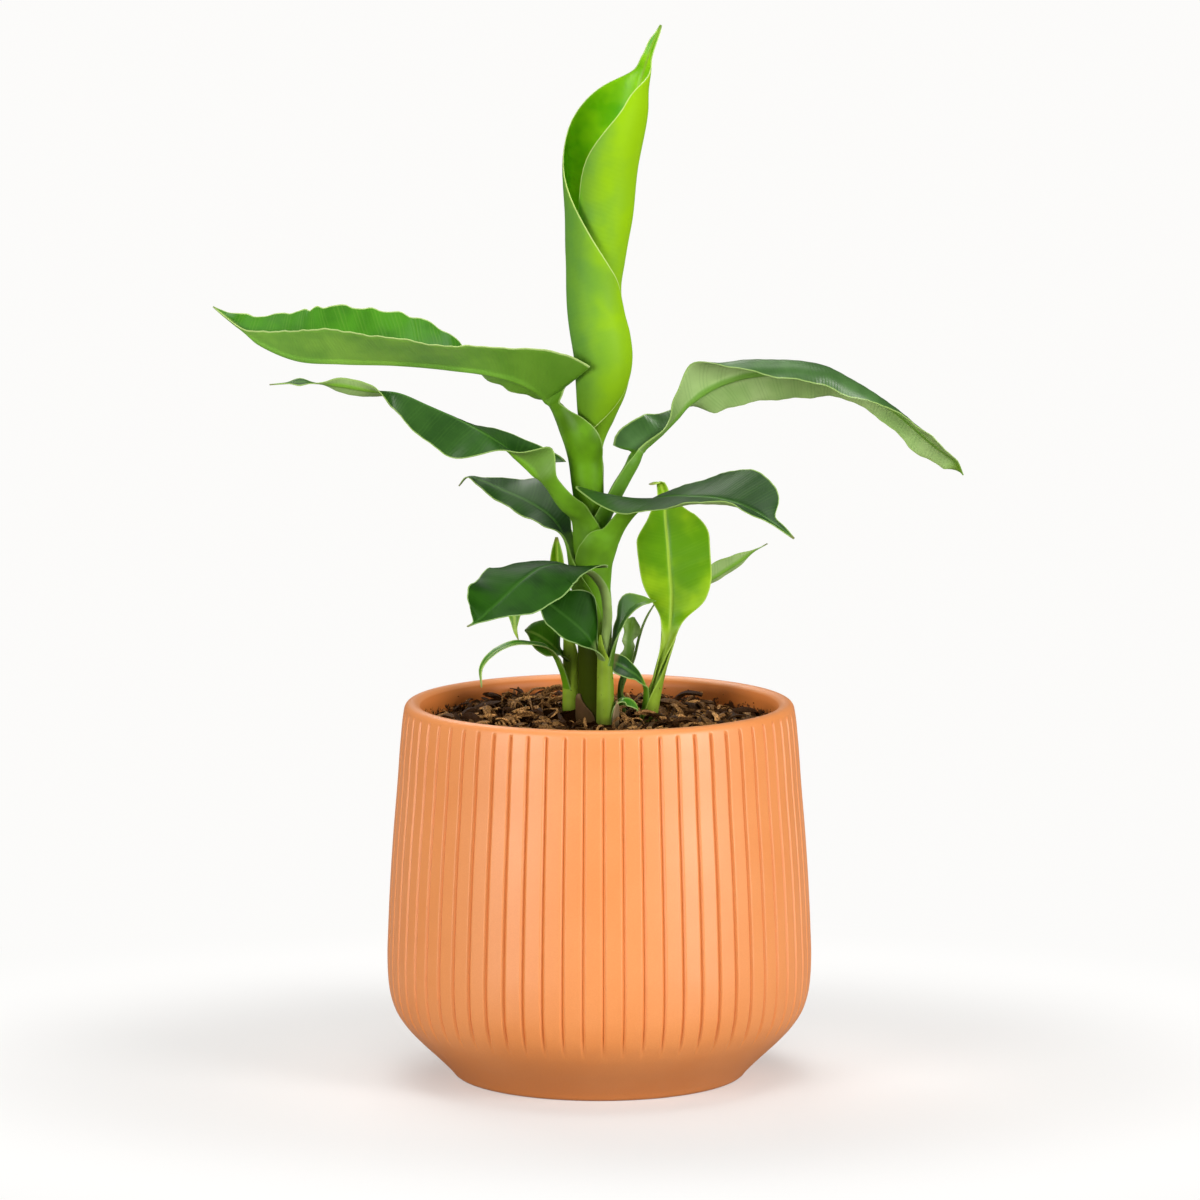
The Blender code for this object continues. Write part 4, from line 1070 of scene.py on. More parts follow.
def named(name: str) -> Object:
    """Name the object just added, and its mesh."""
    item = bpy.context.object
    item.name = item.data.name = name
    return item


def flat_grid(name: str, columns: int, rows: int) -> tuple[Object, np.ndarray, np.ndarray]:
    """Add a flat grid to bend.

    Args:
        name: The object's name.
        columns: Faces across.
        rows: Faces along.

    Returns:
        The object, and each vertex's column and row number.
    """
    deselect()
    bpy.ops.mesh.primitive_grid_add(x_subdivisions=columns, y_subdivisions=rows, size=2.0)
    item = named(name)
    flat = np.empty(len(item.data.vertices) * 3)
    item.data.vertices.foreach_get("co", flat)
    flat = flat.reshape(-1, 3)
    column = np.rint((flat[:, 0] + 1.0) / 2.0 * columns).astype(int)
    row = np.rint((flat[:, 1] + 1.0) / 2.0 * rows).astype(int)
    return item, column, row


def place_vertices(mesh: Mesh, places: np.ndarray) -> None:
    """Set every vertex, from places in millimetres."""
    mesh.vertices.foreach_set("co", (places * MM).astype(np.float32).ravel())
    mesh.update()


def keep_values(mesh: Mesh, name: str, values: np.ndarray) -> None:
    """Store one number a vertex as a mesh attribute.

    Args:
        mesh: The mesh.
        name: The attribute's name.
        values: A number for each vertex.
    """
    layer = mesh.attributes.new(name, "FLOAT", "POINT")
    layer.data.foreach_set("value", values.astype(np.float32).ravel())


def keep_uv(mesh: Mesh, across: np.ndarray, along: np.ndarray) -> None:
    """Store a UV map from two numbers a vertex.

    Args:
        mesh: The mesh.
        across: U of each vertex.
        along: V of each vertex.
    """
    layer = mesh.uv_layers.active or mesh.uv_layers.new(name="UVMap")
    corner = np.empty(len(mesh.loops), dtype=np.int32)
    mesh.loops.foreach_get("vertex_index", corner)
    pairs = np.stack([across[corner], along[corner]], axis=1)
    layer.data.foreach_set("uv", pairs.astype(np.float32).ravel())


def pick(item: Object) -> None:
    """Select one object alone and make it active."""
    deselect()
    item.select_set(True)
    bpy.context.view_layer.objects.active = item


def apply_modifiers(item: Object) -> None:
    """Apply all of an object's modifiers, in order."""
    pick(item)
    for modifier in list(item.modifiers):
        bpy.ops.object.modifier_apply(modifier=modifier.name)


def smooth(item: Object, degrees: float) -> None:
    """Shade smoothly, except across edges sharper than an angle."""
    pick(item)
    bpy.ops.object.shade_smooth_by_angle(angle=math.radians(degrees))


def close_seams(item: Object) -> None:
    """Merge the seam and the poles of a turned body, and face it outwards."""
    pick(item)
    bpy.ops.object.mode_set(mode="EDIT")
    bpy.ops.mesh.select_all(action="SELECT")
    bpy.ops.mesh.remove_doubles(threshold=0.01 * MM)
    bpy.ops.mesh.normals_make_consistent(inside=False)
    bpy.ops.object.mode_set(mode="OBJECT")


def settle(item: Object, slot: str, *nodes: str) -> None:
    """Tell the frame what a piece rides on and which nodes it replaces.

    Args:
        item: The finished piece.
        slot: Not used.
        nodes: The CAD nodes that it stands for.
    """
    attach(item, BODY)
    if nodes:
        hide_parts(*nodes)
    log.info("%s: %d faces", item.name, len(item.data.polygons))


def distances(points: np.ndarray) -> tuple[np.ndarray, np.ndarray]:
    """The gaps between points in a row, and how far along the row each point lies."""
    gaps = np.linalg.norm(np.diff(points, axis=0), axis=1)
    return gaps, np.concatenate([[0.0], np.cumsum(gaps)])


def slopes(knots: np.ndarray, values: np.ndarray, steady: bool) -> np.ndarray:
    """Slopes of a smooth curve through values at uneven knots.

    Args:
        knots: Positions of the values.
        values: One value a knot.
        steady: Never overshoot between two values.

    Returns:
        The slope at each knot.
    """
    steps = np.diff(knots)
    secants = np.diff(values) / steps
    inner = (secants[:-1] * steps[1:] + secants[1:] * steps[:-1]) / (steps[1:] + steps[:-1])
    if steady:
        limit = 2.5 * np.minimum(np.abs(secants[:-1]), np.abs(secants[1:]))
        inner = np.where(secants[:-1] * secants[1:] <= 0, 0.0, np.clip(inner, -limit, limit))
    return np.concatenate([[secants[0]], inner, [secants[-1]]])


def curve_through(knots: np.ndarray, values: np.ndarray, at: np.ndarray,
                  steady: bool) -> tuple[np.ndarray, np.ndarray]:
    """A smooth curve through values.

    Args:
        knots: Positions of the values.
        values: One value a knot.
        at: Where the curve is read.
        steady: Never overshoot between two values.

    Returns:
        The curve's values and slopes.
    """
    tilt = slopes(knots, values, steady)
    index = np.clip(np.searchsorted(knots, at, side="right") - 1, 0, len(knots) - 2)
    step = knots[index + 1] - knots[index]
    t = (at - knots[index]) / step
    before, after = values[index], values[index + 1]
    tilt_before, tilt_after = tilt[index] * step, tilt[index + 1] * step
    value = ((2 * t ** 3 - 3 * t ** 2 + 1) * before + (t ** 3 - 2 * t ** 2 + t) * tilt_before
             + (3 * t ** 2 - 2 * t ** 3) * after + (t ** 3 - t ** 2) * tilt_after)
    slope = ((6 * t ** 2 - 6 * t) * before + (3 * t ** 2 - 4 * t + 1) * tilt_before
             + (6 * t - 6 * t ** 2) * after + (3 * t ** 2 - 2 * t) * tilt_after) / step
    return value, slope


def half_arc(width: np.ndarray, fold: np.ndarray, curl: np.ndarray,
             share: np.ndarray) -> tuple[np.ndarray, np.ndarray]:
    """Reach and rise along half sections that start at the fold and bend by the curl.

    Args:
        width: Width of the half in each row.
        fold: Fold up from flat, in degrees.
        curl: Further curl, in degrees.
        share: Share of the width for each column.

    Returns:
        Reach and rise, row by column.
    """
    start = np.radians(fold)[:, None]
    bend = np.radians(curl)[:, None] * share
    bend = np.where(np.abs(bend) < 1e-4, 1e-4, bend)
    radius = width[:, None] * share / bend
    return (radius * (np.sin(start + bend) - np.sin(start)),
            radius * (np.cos(start) - np.cos(start + bend)))


def eased(share: np.ndarray) -> np.ndarray:
    """A share from 0 to 1 that starts and ends gently."""
    return share * share * (3.0 - 2.0 * share)


@dataclass
class Leaf:
    """One leaf: a sheet from the foot of its sheath to its tip, thick along the midrib."""

    plan: LeafPlan
    # Spacing of the rows, and how much the columns crowd towards the midrib
    blade_step: float = 1.7
    sheath_step: float = 5.0
    long_gap: float = 14.0
    least_rows: int = 4
    crowding: float = 1.2
    # The midrib, the channel over it and the thin margin
    rib_wall: float = 1.5
    rib_width: float = 1.1
    rib_from: float = 3.0
    rib_run: float = 5.0
    channel: float = 0.35
    channel_width: float = 0.9
    margin_thinning: float = 0.45
    margin_run: float = 0.8
    wall_levels: int = 60
    # Waves of the margins and pleats of the blade
    pleat_length: float = 6.5
    right_shift: float = 1.7
    slow_share: float = 0.35
    slow_rate: float = 0.43
    slow_phase: float = 1.1
    wander: float = 0.5
    wander_rate: float = 0.31
    margin_power: int = 3
    # Where a sheath or petiole counts as open blade
    broad_half: float = 8.0
    open_curl: float = 15.0
    tube_curl: float = 55.0
    most_level: float = 0.3
    mostly_open: float = 0.6
    full_blade: float = 0.9
    rows_before: float = 2.0
    ramp_rows: float = 6.0
    roll_start: float = 292.0
    roll_run: float = 14.0
    long_blade: float = 100.0
    # How the base lobes and the feet of the main stem are drawn in
    lobe_bend: float = 1.4
    lobe_run_in: float = 2.0
    slim_top: float = 240.0
    slim_run: float = 42.0
    slim_towards: Point = (MAIN[0] + 7.5, MAIN[1])
    smooth_angle: float = 50.0

    def rows(self) -> dict[str, np.ndarray]:
        """Sections of the leaf at close rows.

        Returns:
            Each of the station's numbers, the distance along, the directions and the blade share.
        """
        table = np.array(self.plan.stations, dtype=float)
        gaps, knots = distances(table[:, :3])
        at = []
        for index, gap in enumerate(gaps):
            long_sheath = table[index, LEVEL] and table[index + 1, LEVEL] and gap > self.long_gap
            step = self.sheath_step if long_sheath else self.blade_step
            count = max(self.least_rows, math.ceil(gap / step))
            at += list(knots[index] + gap * np.arange(count) / count)
        at = np.array(at + [knots[-1]])
        found = {"along": at, "length": np.array([knots[-1]]), "knots": knots}
        slope_of = {}
        for number, name in enumerate(Station._fields):
            steady = name not in ("x", "y", "z")
            found[name], slope_of[name] = curve_through(knots, table[:, number], at, steady)
        level = found["level"][:, None]
        ahead = np.stack([slope_of["x"], slope_of["y"], slope_of["z"]], axis=1)
        ahead /= np.linalg.norm(ahead, axis=1)[:, None]
        ahead = level * np.array([0.0, 0.0, 1.0]) + (1.0 - level) * ahead
        ahead /= np.linalg.norm(ahead, axis=1)[:, None]
        heading = math.radians(self.plan.heading)
        flat_side = np.array([math.sin(heading), -math.cos(heading), 0.0])
        side = flat_side - (ahead @ flat_side)[:, None] * ahead
        side /= np.linalg.norm(side, axis=1)[:, None]
        upper = np.cross(side, ahead)
        turn = np.radians(found["turn"])[:, None]
        found["side"] = np.cos(turn) * side + np.sin(turn) * upper
        found["upper"] = np.cos(turn) * upper - np.sin(turn) * side
        found["blade"] = self.blade_share(found)
        return found

    def blade_share(self, found: dict[str, np.ndarray]) -> np.ndarray:
        """How much of a row is blade rather than sheath or petiole, from 0 to 1."""
        curl = (np.abs(found["curl_left"]) + np.abs(found["curl_right"])) / 2.0
        if self.plan.breadth is Breadth.ROLLED:
            return np.clip((found["z"] - self.roll_start) / self.roll_run, 0.0, 1.0)
        tube = np.clip((curl - self.open_curl) / (self.tube_curl - self.open_curl), 0.0, 1.0)
        past = np.cumsum(np.maximum(0.0, 1.0 - tube)) > self.rows_before
        open_share = np.where(found["level"] > self.most_level, 0.0, 1.0 - tube)
        opened = open_share > self.mostly_open
        first = np.argmax(opened) if opened.any() else len(curl)
        order = np.arange(len(curl))
        ramp = np.clip(1 - (first - order) / self.ramp_rows, 0, 1)
        return np.where((order >= first) & past, 1.0, open_share * ramp)

    def relief(self, found: dict[str, np.ndarray], share: np.ndarray, width: np.ndarray, size: float,
               shift: float) -> np.ndarray:
        """Extra rise of one half: margin waves, pleats and the channel over the midrib.

        Args:
            found: The rows.
            share: Share of the width for each column.
            width: Width of the half in each row.
            size: Height of the margin waves.
            shift: Phase of the margin waves.

        Returns:
            The rise, row by column.
        """
        ripple = self.plan.ripple
        reach = width[:, None] * share
        along = found["along"][:, None]
        cycle = math.tau * along / ripple.length + ripple.phase + shift
        slow = self.slow_share * np.sin(cycle * self.slow_rate + self.slow_phase)
        wandering = cycle + self.wander * np.sin(cycle * self.wander_rate)
        wave = size * (np.sin(wandering) + slow) * share ** self.margin_power
        turns = math.tau * (along - VEIN_LEAN * reach) / self.pleat_length
        pleats = ripple.pleat * np.sin(turns) * np.sqrt(share)
        room = np.clip(width[:, None] / self.broad_half, 0.0, 1.0)
        channel = -self.channel * np.exp(-(reach / self.channel_width) ** 2)
        return found["blade"][:, None] * room * (wave + pleats + channel)

    def drawn_back(self, found: dict[str, np.ndarray], share: np.ndarray) -> np.ndarray:
        """Shift of every point that draws the base lobes back towards the stem.

        Args:
            found: The rows.
            share: Share of the width for each column of a half.

        Returns:
            The shift, row by column.
        """
        lobe = self.plan.lobe
        past = found["along"] - found["knots"][lobe.station]
        fall = eased(np.clip(1.0 - past / lobe.fade, 0.0, 1.0))
        window = np.where(past < 0, np.clip(1.0 + past / self.lobe_run_in, 0.0, 1.0), fall)
        bend = share ** self.lobe_bend
        left = window[:, None, None] * bend[None, ::-1, None] * np.array(lobe.left)
        right = window[:, None, None] * bend[None, :, None] * np.array(lobe.right)
        return np.concatenate([left, np.zeros((len(past), 1, 3)), right], axis=1)

    def slim_foot(self, points: np.ndarray) -> None:
        """Draw the foot of a stem in sideways, by the plan's share, row by column."""
        low = np.clip((self.slim_top - points[:, :, 2:]) / self.slim_run, 0.0, 1.0)
        low = self.plan.slim * eased(low)
        points[:, :, :2] += low * (np.array(self.slim_towards) - points[:, :, :2])

    def sheet(self, found: dict[str, np.ndarray],
              share: np.ndarray) -> tuple[np.ndarray, np.ndarray, np.ndarray]:
        """The bent sheet, row by column from the left margin to the right one.

        Args:
            found: The rows.
            share: Share of the width for each column of a half.

        Returns:
            Each point, and its distances from the midrib and from the nearer margin.
        """
        ripple = self.plan.ripple
        halves = []
        sides = (("left", -1.0, ripple.left, 0.0), ("right", 1.0, ripple.right, self.right_shift))
        for name, sign, size, shift in sides:
            width = found[name]
            reach, rise = half_arc(width, found["fold_" + name], found["curl_" + name], share[None, :])
            rise = rise + self.relief(found, share[None, :], width, size, shift)
            halves.append((sign * reach, rise, width[:, None] * share, width[:, None] * (1 - share)))
        middle = np.zeros((len(found["along"]), 1))
        room = np.clip(found["left"][:, None] / self.broad_half, 0, 1)
        sink = -self.channel * found["blade"][:, None] * room
        edge = np.minimum(found["left"], found["right"])[:, None]
        reach, rise, from_rib, from_edge = (
            np.concatenate([left[:, ::-1], between, right], axis=1)
            for left, right, between in zip(*halves, (middle, sink, middle, edge)))
        centre = np.stack([found["x"], found["y"], found["z"]], axis=1)
        points = (centre[:, None, :] + reach[:, :, None] * found["side"][:, None, :]
                  + rise[:, :, None] * found["upper"][:, None, :])
        points += self.drawn_back(found, share)
        self.slim_foot(points)
        return points, from_rib, from_edge

    def build(self) -> Object:
        """Bend the sheet and give it its thickness.

        Returns:
            The leaf's object.
        """
        plan = self.plan
        found = self.rows()
        along, half = found["along"], plan.breadth.value
        crowding = 1.0 if plan.breadth is Breadth.ROLLED else self.crowding
        share = (np.arange(1, half + 1) / half) ** crowding
        points, from_rib, from_edge = self.sheet(found, share)
        item, column, row = flat_grid(plan.name, 2 * half, len(along) - 1)
        mesh = item.data
        place_vertices(mesh, points[row, column])
        signed = np.concatenate([-share[::-1], [0.0], share])
        keep_uv(mesh, 0.5 + 0.5 * signed[column], along[row] / 100.0)
        keep_values(mesh, "along", along[row])
        keep_values(mesh, "reach", from_rib[row, column])
        keep_values(mesh, "margin", from_edge[row, column])
        keep_values(mesh, "blade", found["blade"][row])
        keep_values(mesh, "to_tip", found["length"][0] - along[row])
        first = along[np.argmax(found["blade"] > self.full_blade)]
        stretch = max(1.0, self.long_blade / (found["length"][0] - first))
        keep_values(mesh, "opened", stretch * (along[row] - first))
        bottom, top = plan.stain
        keep_values(mesh, "stain", np.clip((top - points[row, column, 2]) / (top - bottom), 0.0, 1.0))
        self.thicken(item, found["blade"][row], from_rib[row, column], from_edge[row, column],
                     np.minimum(found["left"], found["right"])[row])
        return item

    def thicken(self, item: Object, blade_part: np.ndarray, from_rib: np.ndarray, from_edge: np.ndarray,
                narrowest: np.ndarray) -> None:
        """Give the sheet its wall: thin at the margins, rounded and thick along the midrib.

        Args:
            item: The sheet.
            blade_part: Blade share of each vertex.
            from_rib: Distance from the midrib.
            from_edge: Distance from the margin.
            narrowest: Width of the narrower half there.
        """
        thinning = self.margin_thinning * blade_part * np.exp(-from_edge / self.margin_run)
        wall = self.plan.wall * (1.0 - thinning)
        rib_room = np.clip((narrowest - self.rib_from) / self.rib_run, 0.0, 1.0) * blade_part
        ridge = np.exp(-(from_rib / self.rib_width) ** 2)
        wall = wall + (self.rib_wall - self.plan.wall) * rib_room * ridge
        group = item.vertex_groups.new(name="wall")
        levels = np.rint(wall / self.rib_wall * self.wall_levels).astype(int)
        for level in np.unique(levels):
            members = np.nonzero(levels == level)[0].tolist()
            group.add(members, float(level) / self.wall_levels, "REPLACE")
        solid = item.modifiers.new("wall", "SOLIDIFY")
        solid.thickness = self.rib_wall * MM
        solid.offset = -1.0
        solid.vertex_group = "wall"
        solid.use_rim = True
        solid.material_offset = 1

    def dress(self, item: Object, materials: dict[tuple[str, Side], Material]) -> None:
        """Give the leaf its two materials and settle it.

        Args:
            item: The sheet.
            materials: The materials by finish name and side.
        """
        for side in (Side.UPPER, Side.UNDER):
            item.data.materials.append(materials[(self.plan.finish.name, side)])
        apply_modifiers(item)
        smooth(item, self.smooth_angle)
        known = [self.plan.name] if self.plan.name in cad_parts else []
        settle(item, self.plan.finish.slot, *known)


@dataclass
class Plant:
    """The main plant and its suckers."""

    finishes: tuple[LeafFinish, ...] = (SPEAR, YOUNG, SHEATH, MID_LIT, MID, OLD, PALE, DEEP_SHADED, DRY, PAPER)
    main_slim: float = 0.2
    # Heights over which the main stem's sheaths darken: partly their own dark foot and partly painted shade
    # under the leaves
    main_stain: Point = (192.0, 236.0)

    def make(self, groups: Groups) -> None:
        """Build and dress every leaf.

        Args:
            groups: The shared shader groups.
        """
        materials = {}
        for finish in self.finishes:
            for side in Side:
                materials[(finish.name, side)] = finish.material(side, groups)
        plans = [replace(plan, slim=self.main_slim,
                         stain=plan.stain if plan.finish is DRY else self.main_stain)
                 for plan in main_leaves()]
        plans += (base_sheaths() + front_sucker_leaves() + left_sucker_leaves() + right_sucker_leaves()
                  + back_sucker_leaves())
        for plan in plans:
            leaf = Leaf(plan)
            leaf.dress(leaf.build(), materials)


@dataclass
class Pot:
    """The terracotta pot: a turned body with fine upright grooves between flat ribs."""

    ribs: int = 66
    turn: float = -1.6
    groove_depth: float = 1.25
    groove_half: float = 1.1
    groove_bottom: float = 26.0
    groove_top: float = 173.6
    run_in: float = 9.0
    run_out: float = 1.6
    rib_flatness: float = 0.6
    lip_step: float = 1.1
    wall_step: float = 2.6
    hidden_step: float = 16.0
    foot_step: float = 22.0
    foot_radius: float = 66.6
    crest_corner: int = 2
    crest_width: float = 4.0
    groove_tone: float = 1.5
    smooth_angle: float = 55.0
    offsets: tuple[float, ...] = (0.0, 0.3, 0.6, 0.9, 1.15, 1.5, 4.4, 7.3, 7.65, 7.9, 8.2, 8.5)
    pitch: float = 8.8
    inside: tuple[Point, ...] = (
        (0.0, 9.0), (30.0, 9.0), (58.0, 9.2), (66.0, 11.0), (80.0, 20.0), (88.0, 30.0), (90.0, 38.0),
        (89.4, 70.0), (87.6, 125.0), (84.6, 158.0), (83.4, 168.0), (83.2, 171.5), (83.6, 173.6))
    lip: tuple[Point, ...] = (
        (84.5, 175.2), (85.9, 176.2), (87.5, 176.6), (89.1, 176.4), (90.4, 175.6), (91.2, 174.4),
        (91.6, 173.0))
    outside: tuple[Point, ...] = (
        (91.95, 171.0), (93.2, 159.6), (94.8, 138.8), (97.0, 112.8), (98.7, 86.7), (99.5, 69.4),
        (99.9, 57.2), (99.6, 46.8), (98.5, 38.2), (96.2, 31.2), (92.0, 24.6), (85.2, 17.2),
        (78.0, 10.4), (72.5, 5.0), (69.9, 2.2), (68.9, 0.9), (68.0, 0.2), (66.5, 0.0), (40.0, 0.0),
        (0.0, 0.0))

    def profile(self) -> np.ndarray:
        """Radius, height and distance down the wall, from the inner floor to the foot, and the crest's."""
        corners = np.array(self.inside + self.lip + self.outside)
        gaps, knots = distances(corners)
        at = []
        lip_start, lip_end = len(self.inside) - 3, len(self.inside) + len(self.lip) + 1
        for index, gap in enumerate(gaps):
            visible = index >= lip_start
            step = self.wall_step if visible else self.hidden_step
            if lip_start <= index < lip_end:
                step = self.lip_step
            if visible and corners[index, 0] < self.foot_radius:
                step = self.foot_step
            count = max(1, math.ceil(gap / step))
            at += list(knots[index] + gap * np.arange(count) / count)
        at = np.array(at + [knots[-1]])
        radius, _ = curve_through(knots, corners[:, 0], at, True)
        height, _ = curve_through(knots, corners[:, 1], at, True)
        crest = np.full_like(at, knots[len(self.inside) + self.crest_corner])
        return np.stack([radius, height, at, crest], axis=1)

    def build(self) -> Object:
        """Bend a grid into the turned wall and press in the grooves.

        Returns:
            The pot's object.
        """
        profile = self.profile()
        columns = self.ribs * len(self.offsets)
        item, column, row = flat_grid("terracotta_pot", columns, len(profile) - 1)
        rib, step = np.divmod(column, len(self.offsets))
        offset = np.array(self.offsets)[step]
        angle = math.tau * (rib + offset / self.pitch) / self.ribs + math.radians(self.turn)
        from_line = np.minimum(offset, self.pitch - offset)
        radius, height, at, crest = profile[row].T
        outer = at > crest
        starting = np.clip((height - self.groove_bottom) / self.run_in, 0, 1)
        ending = np.clip((self.groove_top - height) / self.run_out, 0, 1)
        ease = np.sqrt(starting * ending) * outer
        ridge = np.clip(1.0 - from_line / self.groove_half, 0.0, 1.0)
        half_step = math.pi / self.ribs
        flat = np.cos(half_step) / np.cos(half_step * (1.0 - 2.0 * from_line / self.pitch)) - 1.0
        new_radius = radius * (1.0 + self.rib_flatness * flat * ease) - self.groove_depth * ease * ridge
        places = np.stack([new_radius * np.cos(angle), new_radius * np.sin(angle), height], axis=1)
        place_vertices(item.data, places)
        # Mask of the grooves, which the clay darkens as painted shade with some dirt
        keep_values(item.data, "groove_shade", ease * ridge ** self.groove_tone)
        keep_values(item.data, "inner", (at < crest - self.crest_width).astype(float))
        keep_uv(item.data, column / columns, row / len(profile))
        return item

    def dress(self, item: Object, groups: Groups) -> None:
        """Close the seam and the poles, and give the pot its clay.

        Args:
            item: The bent grid.
            groups: The shared shader groups.
        """
        close_seams(item)
        item.data.materials.append(TerracottaFinish().material(groups))
        smooth(item, self.smooth_angle)
        settle(item, "terracotta", "pot")


@dataclass
class PottingSoil:
    """The potting soil with its bark shreds, crumbs and perlite."""

    top: float = 164.5
    rim: float = 83.0
    sides: int = 220
    rings: int = 78
    shreds: int = 1250
    crumbs: int = 3200
    pale_bits: int = 200
    splashes: int = 160
    shred_kinds: int = 12
    crumb_kinds: int = 8
    pale_kinds: int = 5
    seed: int = 5
    bed_tone: float = 0.4
    lump: float = 0.8
    swell: float = 0.6
    clod: float = 1.1
    clod_scale: float = 0.16
    sink: float = 0.5
    crowding: float = 0.8
    shred_rows: int = 8
    shred_taper: float = 2.6
    shred_arch: float = 0.35
    least_sweep: float = 0.2
    crumb_flatness: float = 0.75
    rarity: int = 3
    mound: float = 5.5
    mound_place: Point = (-32.0, 40.0)
    mound_width: float = 30.0
    heap: float = 1.6
    heap_width: float = 5.0
    strewn_reach: float = 82.0
    splash_radius: float = 83.5
    splash_foot: float = 166.5
    splash_climb: float = 5.0
    shred_lengths: tuple[float, ...] = (3.5, 5.0, 7.0, 9.0, 12.0, 17.0)
    wall: tuple[Point, ...] = (
        (82.6, 158.0), (87.0, 125.0), (89.4, 38.0), (79.4, 20.4), (61.4, 9.6), (0.0, 9.6))
    stems: tuple[tuple[Point, float], ...] = (
        (MAIN, 11.5), (FRONT, 5.0), (LEFT, 4.3), (RIGHT, 3.6), (BACK, 2.2))

    def height_at(self, x: float, y: float) -> float:
        """Height of the soil's surface at a place.

        Args:
            x: Place along X.
            y: Place along Y.

        Returns:
            The height, in millimetres.
        """
        away = (x - self.mound_place[0]) ** 2 + (y - self.mound_place[1]) ** 2
        mound = self.mound * math.exp(-away / self.mound_width ** 2)
        lumps = self.lump * math.sin(x * 0.23 + 1.0) * math.cos(y * 0.19)
        swells = self.swell * math.sin(x * 0.11 - y * 0.27)
        place = Vector((x * self.clod_scale, y * self.clod_scale, 3.1))
        clods = noise.fractal(place, 0.9, 2.1, 5) * self.clod
        gaps = (max(0.0, math.hypot(x - s[0], y - s[1]) - r) for s, r in self.stems)
        heap = sum(self.heap * math.exp(-gap / self.heap_width) for gap in gaps)
        return self.top + mound + (lumps + swells) + clods + heap - self.sink

    def build_bed(self) -> Object:
        """The body of soil, from its uneven surface down to the pot's floor.

        Returns:
            The bed's object.
        """
        rows = self.rings + len(self.wall)
        item, column, row = flat_grid("potting_soil", self.sides, rows)
        angle = -math.tau * column / self.sides
        places = np.zeros((len(column), 3))
        for index, (turn, ring) in enumerate(zip(angle, row)):
            if ring <= self.rings:
                radius = self.rim * (ring / self.rings) ** self.crowding
                x, y = radius * math.cos(turn), radius * math.sin(turn)
                places[index] = (x, y, self.height_at(x, y))
            else:
                radius, z = self.wall[ring - self.rings - 1]
                places[index] = (radius * math.cos(turn), radius * math.sin(turn), z)
        place_vertices(item.data, places)
        close_seams(item)
        keep_values(item.data, "tone", np.full(len(item.data.vertices), self.bed_tone))
        return item

    def shred_shape(self, dice: random.Random) -> Mesh:
        """One shred of bark of unit length, tapered, bent and twisted.

        Args:
            dice: The random source.

        Returns:
            Its mesh, which has no object.
        """
        item, column, row = flat_grid("shred", 2, self.shred_rows)
        sweep, arch, twist = dice.uniform(-2.6, 2.6), dice.uniform(0.1, 0.9), dice.uniform(-0.9, 0.9)
        width, cup = dice.uniform(0.045, 0.10), dice.uniform(0.1, 0.6)
        t = row / self.shred_rows
        taper = np.sqrt(np.clip(1.0 - np.abs(2 * t - 1.0) ** self.shred_taper, 0.08, 1.0))
        side = (column - 1.0) * width * taper
        turn, roll = (t - 0.5) * sweep, (t - 0.5) * twist
        spread, bend = side * np.cos(roll), max(abs(sweep), self.least_sweep)
        x = np.sin(turn) / bend - spread * np.sin(turn)
        y = (1.0 - np.cos(turn)) / bend * np.sign(sweep) + spread * np.cos(turn)
        rise = self.shred_arch * arch * (1.0 - (2 * t - 1.0) ** 2)
        z = rise + side * np.sin(roll) - cup * np.abs(side)
        place_vertices(item.data, np.stack([x, y, z], axis=1) / MM)
        solid = item.modifiers.new("wall", "SOLIDIFY")
        solid.thickness = dice.uniform(0.03, 0.06)
        apply_modifiers(item)
        mesh = item.data
        bpy.data.objects.remove(item)
        return mesh

    def crumb_shape(self, dice: random.Random, subdivisions: int) -> Mesh:
        """One crumb of unit size, uneven.

        Args:
            dice: The random source.
            subdivisions: Fineness of the ball it starts from.

        Returns:
            Its mesh, which has no object.
        """
        deselect()
        bpy.ops.mesh.primitive_ico_sphere_add(subdivisions=subdivisions, radius=0.5)
        item = named("crumb")
        for vert in item.data.vertices:
            vert.co *= dice.uniform(0.65, 1.2)
            vert.co.z *= self.crumb_flatness
        mesh = item.data
        bpy.data.objects.remove(item)
        return mesh

    def strew(self, name: str, shapes: list[Mesh], places: list[tuple[Matrix, float]]) -> Object:
        """Copy small shapes to many places as one piece.

        Args:
            name: The piece's name.
            shapes: The shapes, used in turn.
            places: Each copy's place and tone.

        Returns:
            The piece.
        """
        gathered = bmesh.new()
        tone = gathered.verts.layers.float.new("tone")
        for index, (place, shade) in enumerate(places):
            copy = shapes[index % len(shapes)].copy()
            copy.transform(place)
            before = len(gathered.verts)
            gathered.from_mesh(copy)
            gathered.verts.ensure_lookup_table()
            for number in range(before, len(gathered.verts)):
                gathered.verts[number][tone] = shade
            bpy.data.meshes.remove(copy)
        mesh = bpy.data.meshes.new(name)
        gathered.to_mesh(mesh)
        gathered.free()
        item = bpy.data.objects.new(name, mesh)
        bpy.context.scene.collection.objects.link(item)
        return item

    def spot(self, dice: random.Random, reach: float, clear: float) -> tuple[float, float]:
        """A place on the soil that is clear of the stems.

        Args:
            dice: The random source.
            reach: Largest distance from the middle.
            clear: Distance kept from each stem.

        Returns:
            The place.
        """
        while True:
            radius, angle = reach * math.sqrt(dice.random()), dice.uniform(0, math.tau)
            x, y = radius * math.cos(angle), radius * math.sin(angle)
            if all(math.hypot(x - s[0], y - s[1]) > r + clear for s, r in self.stems):
                return x, y

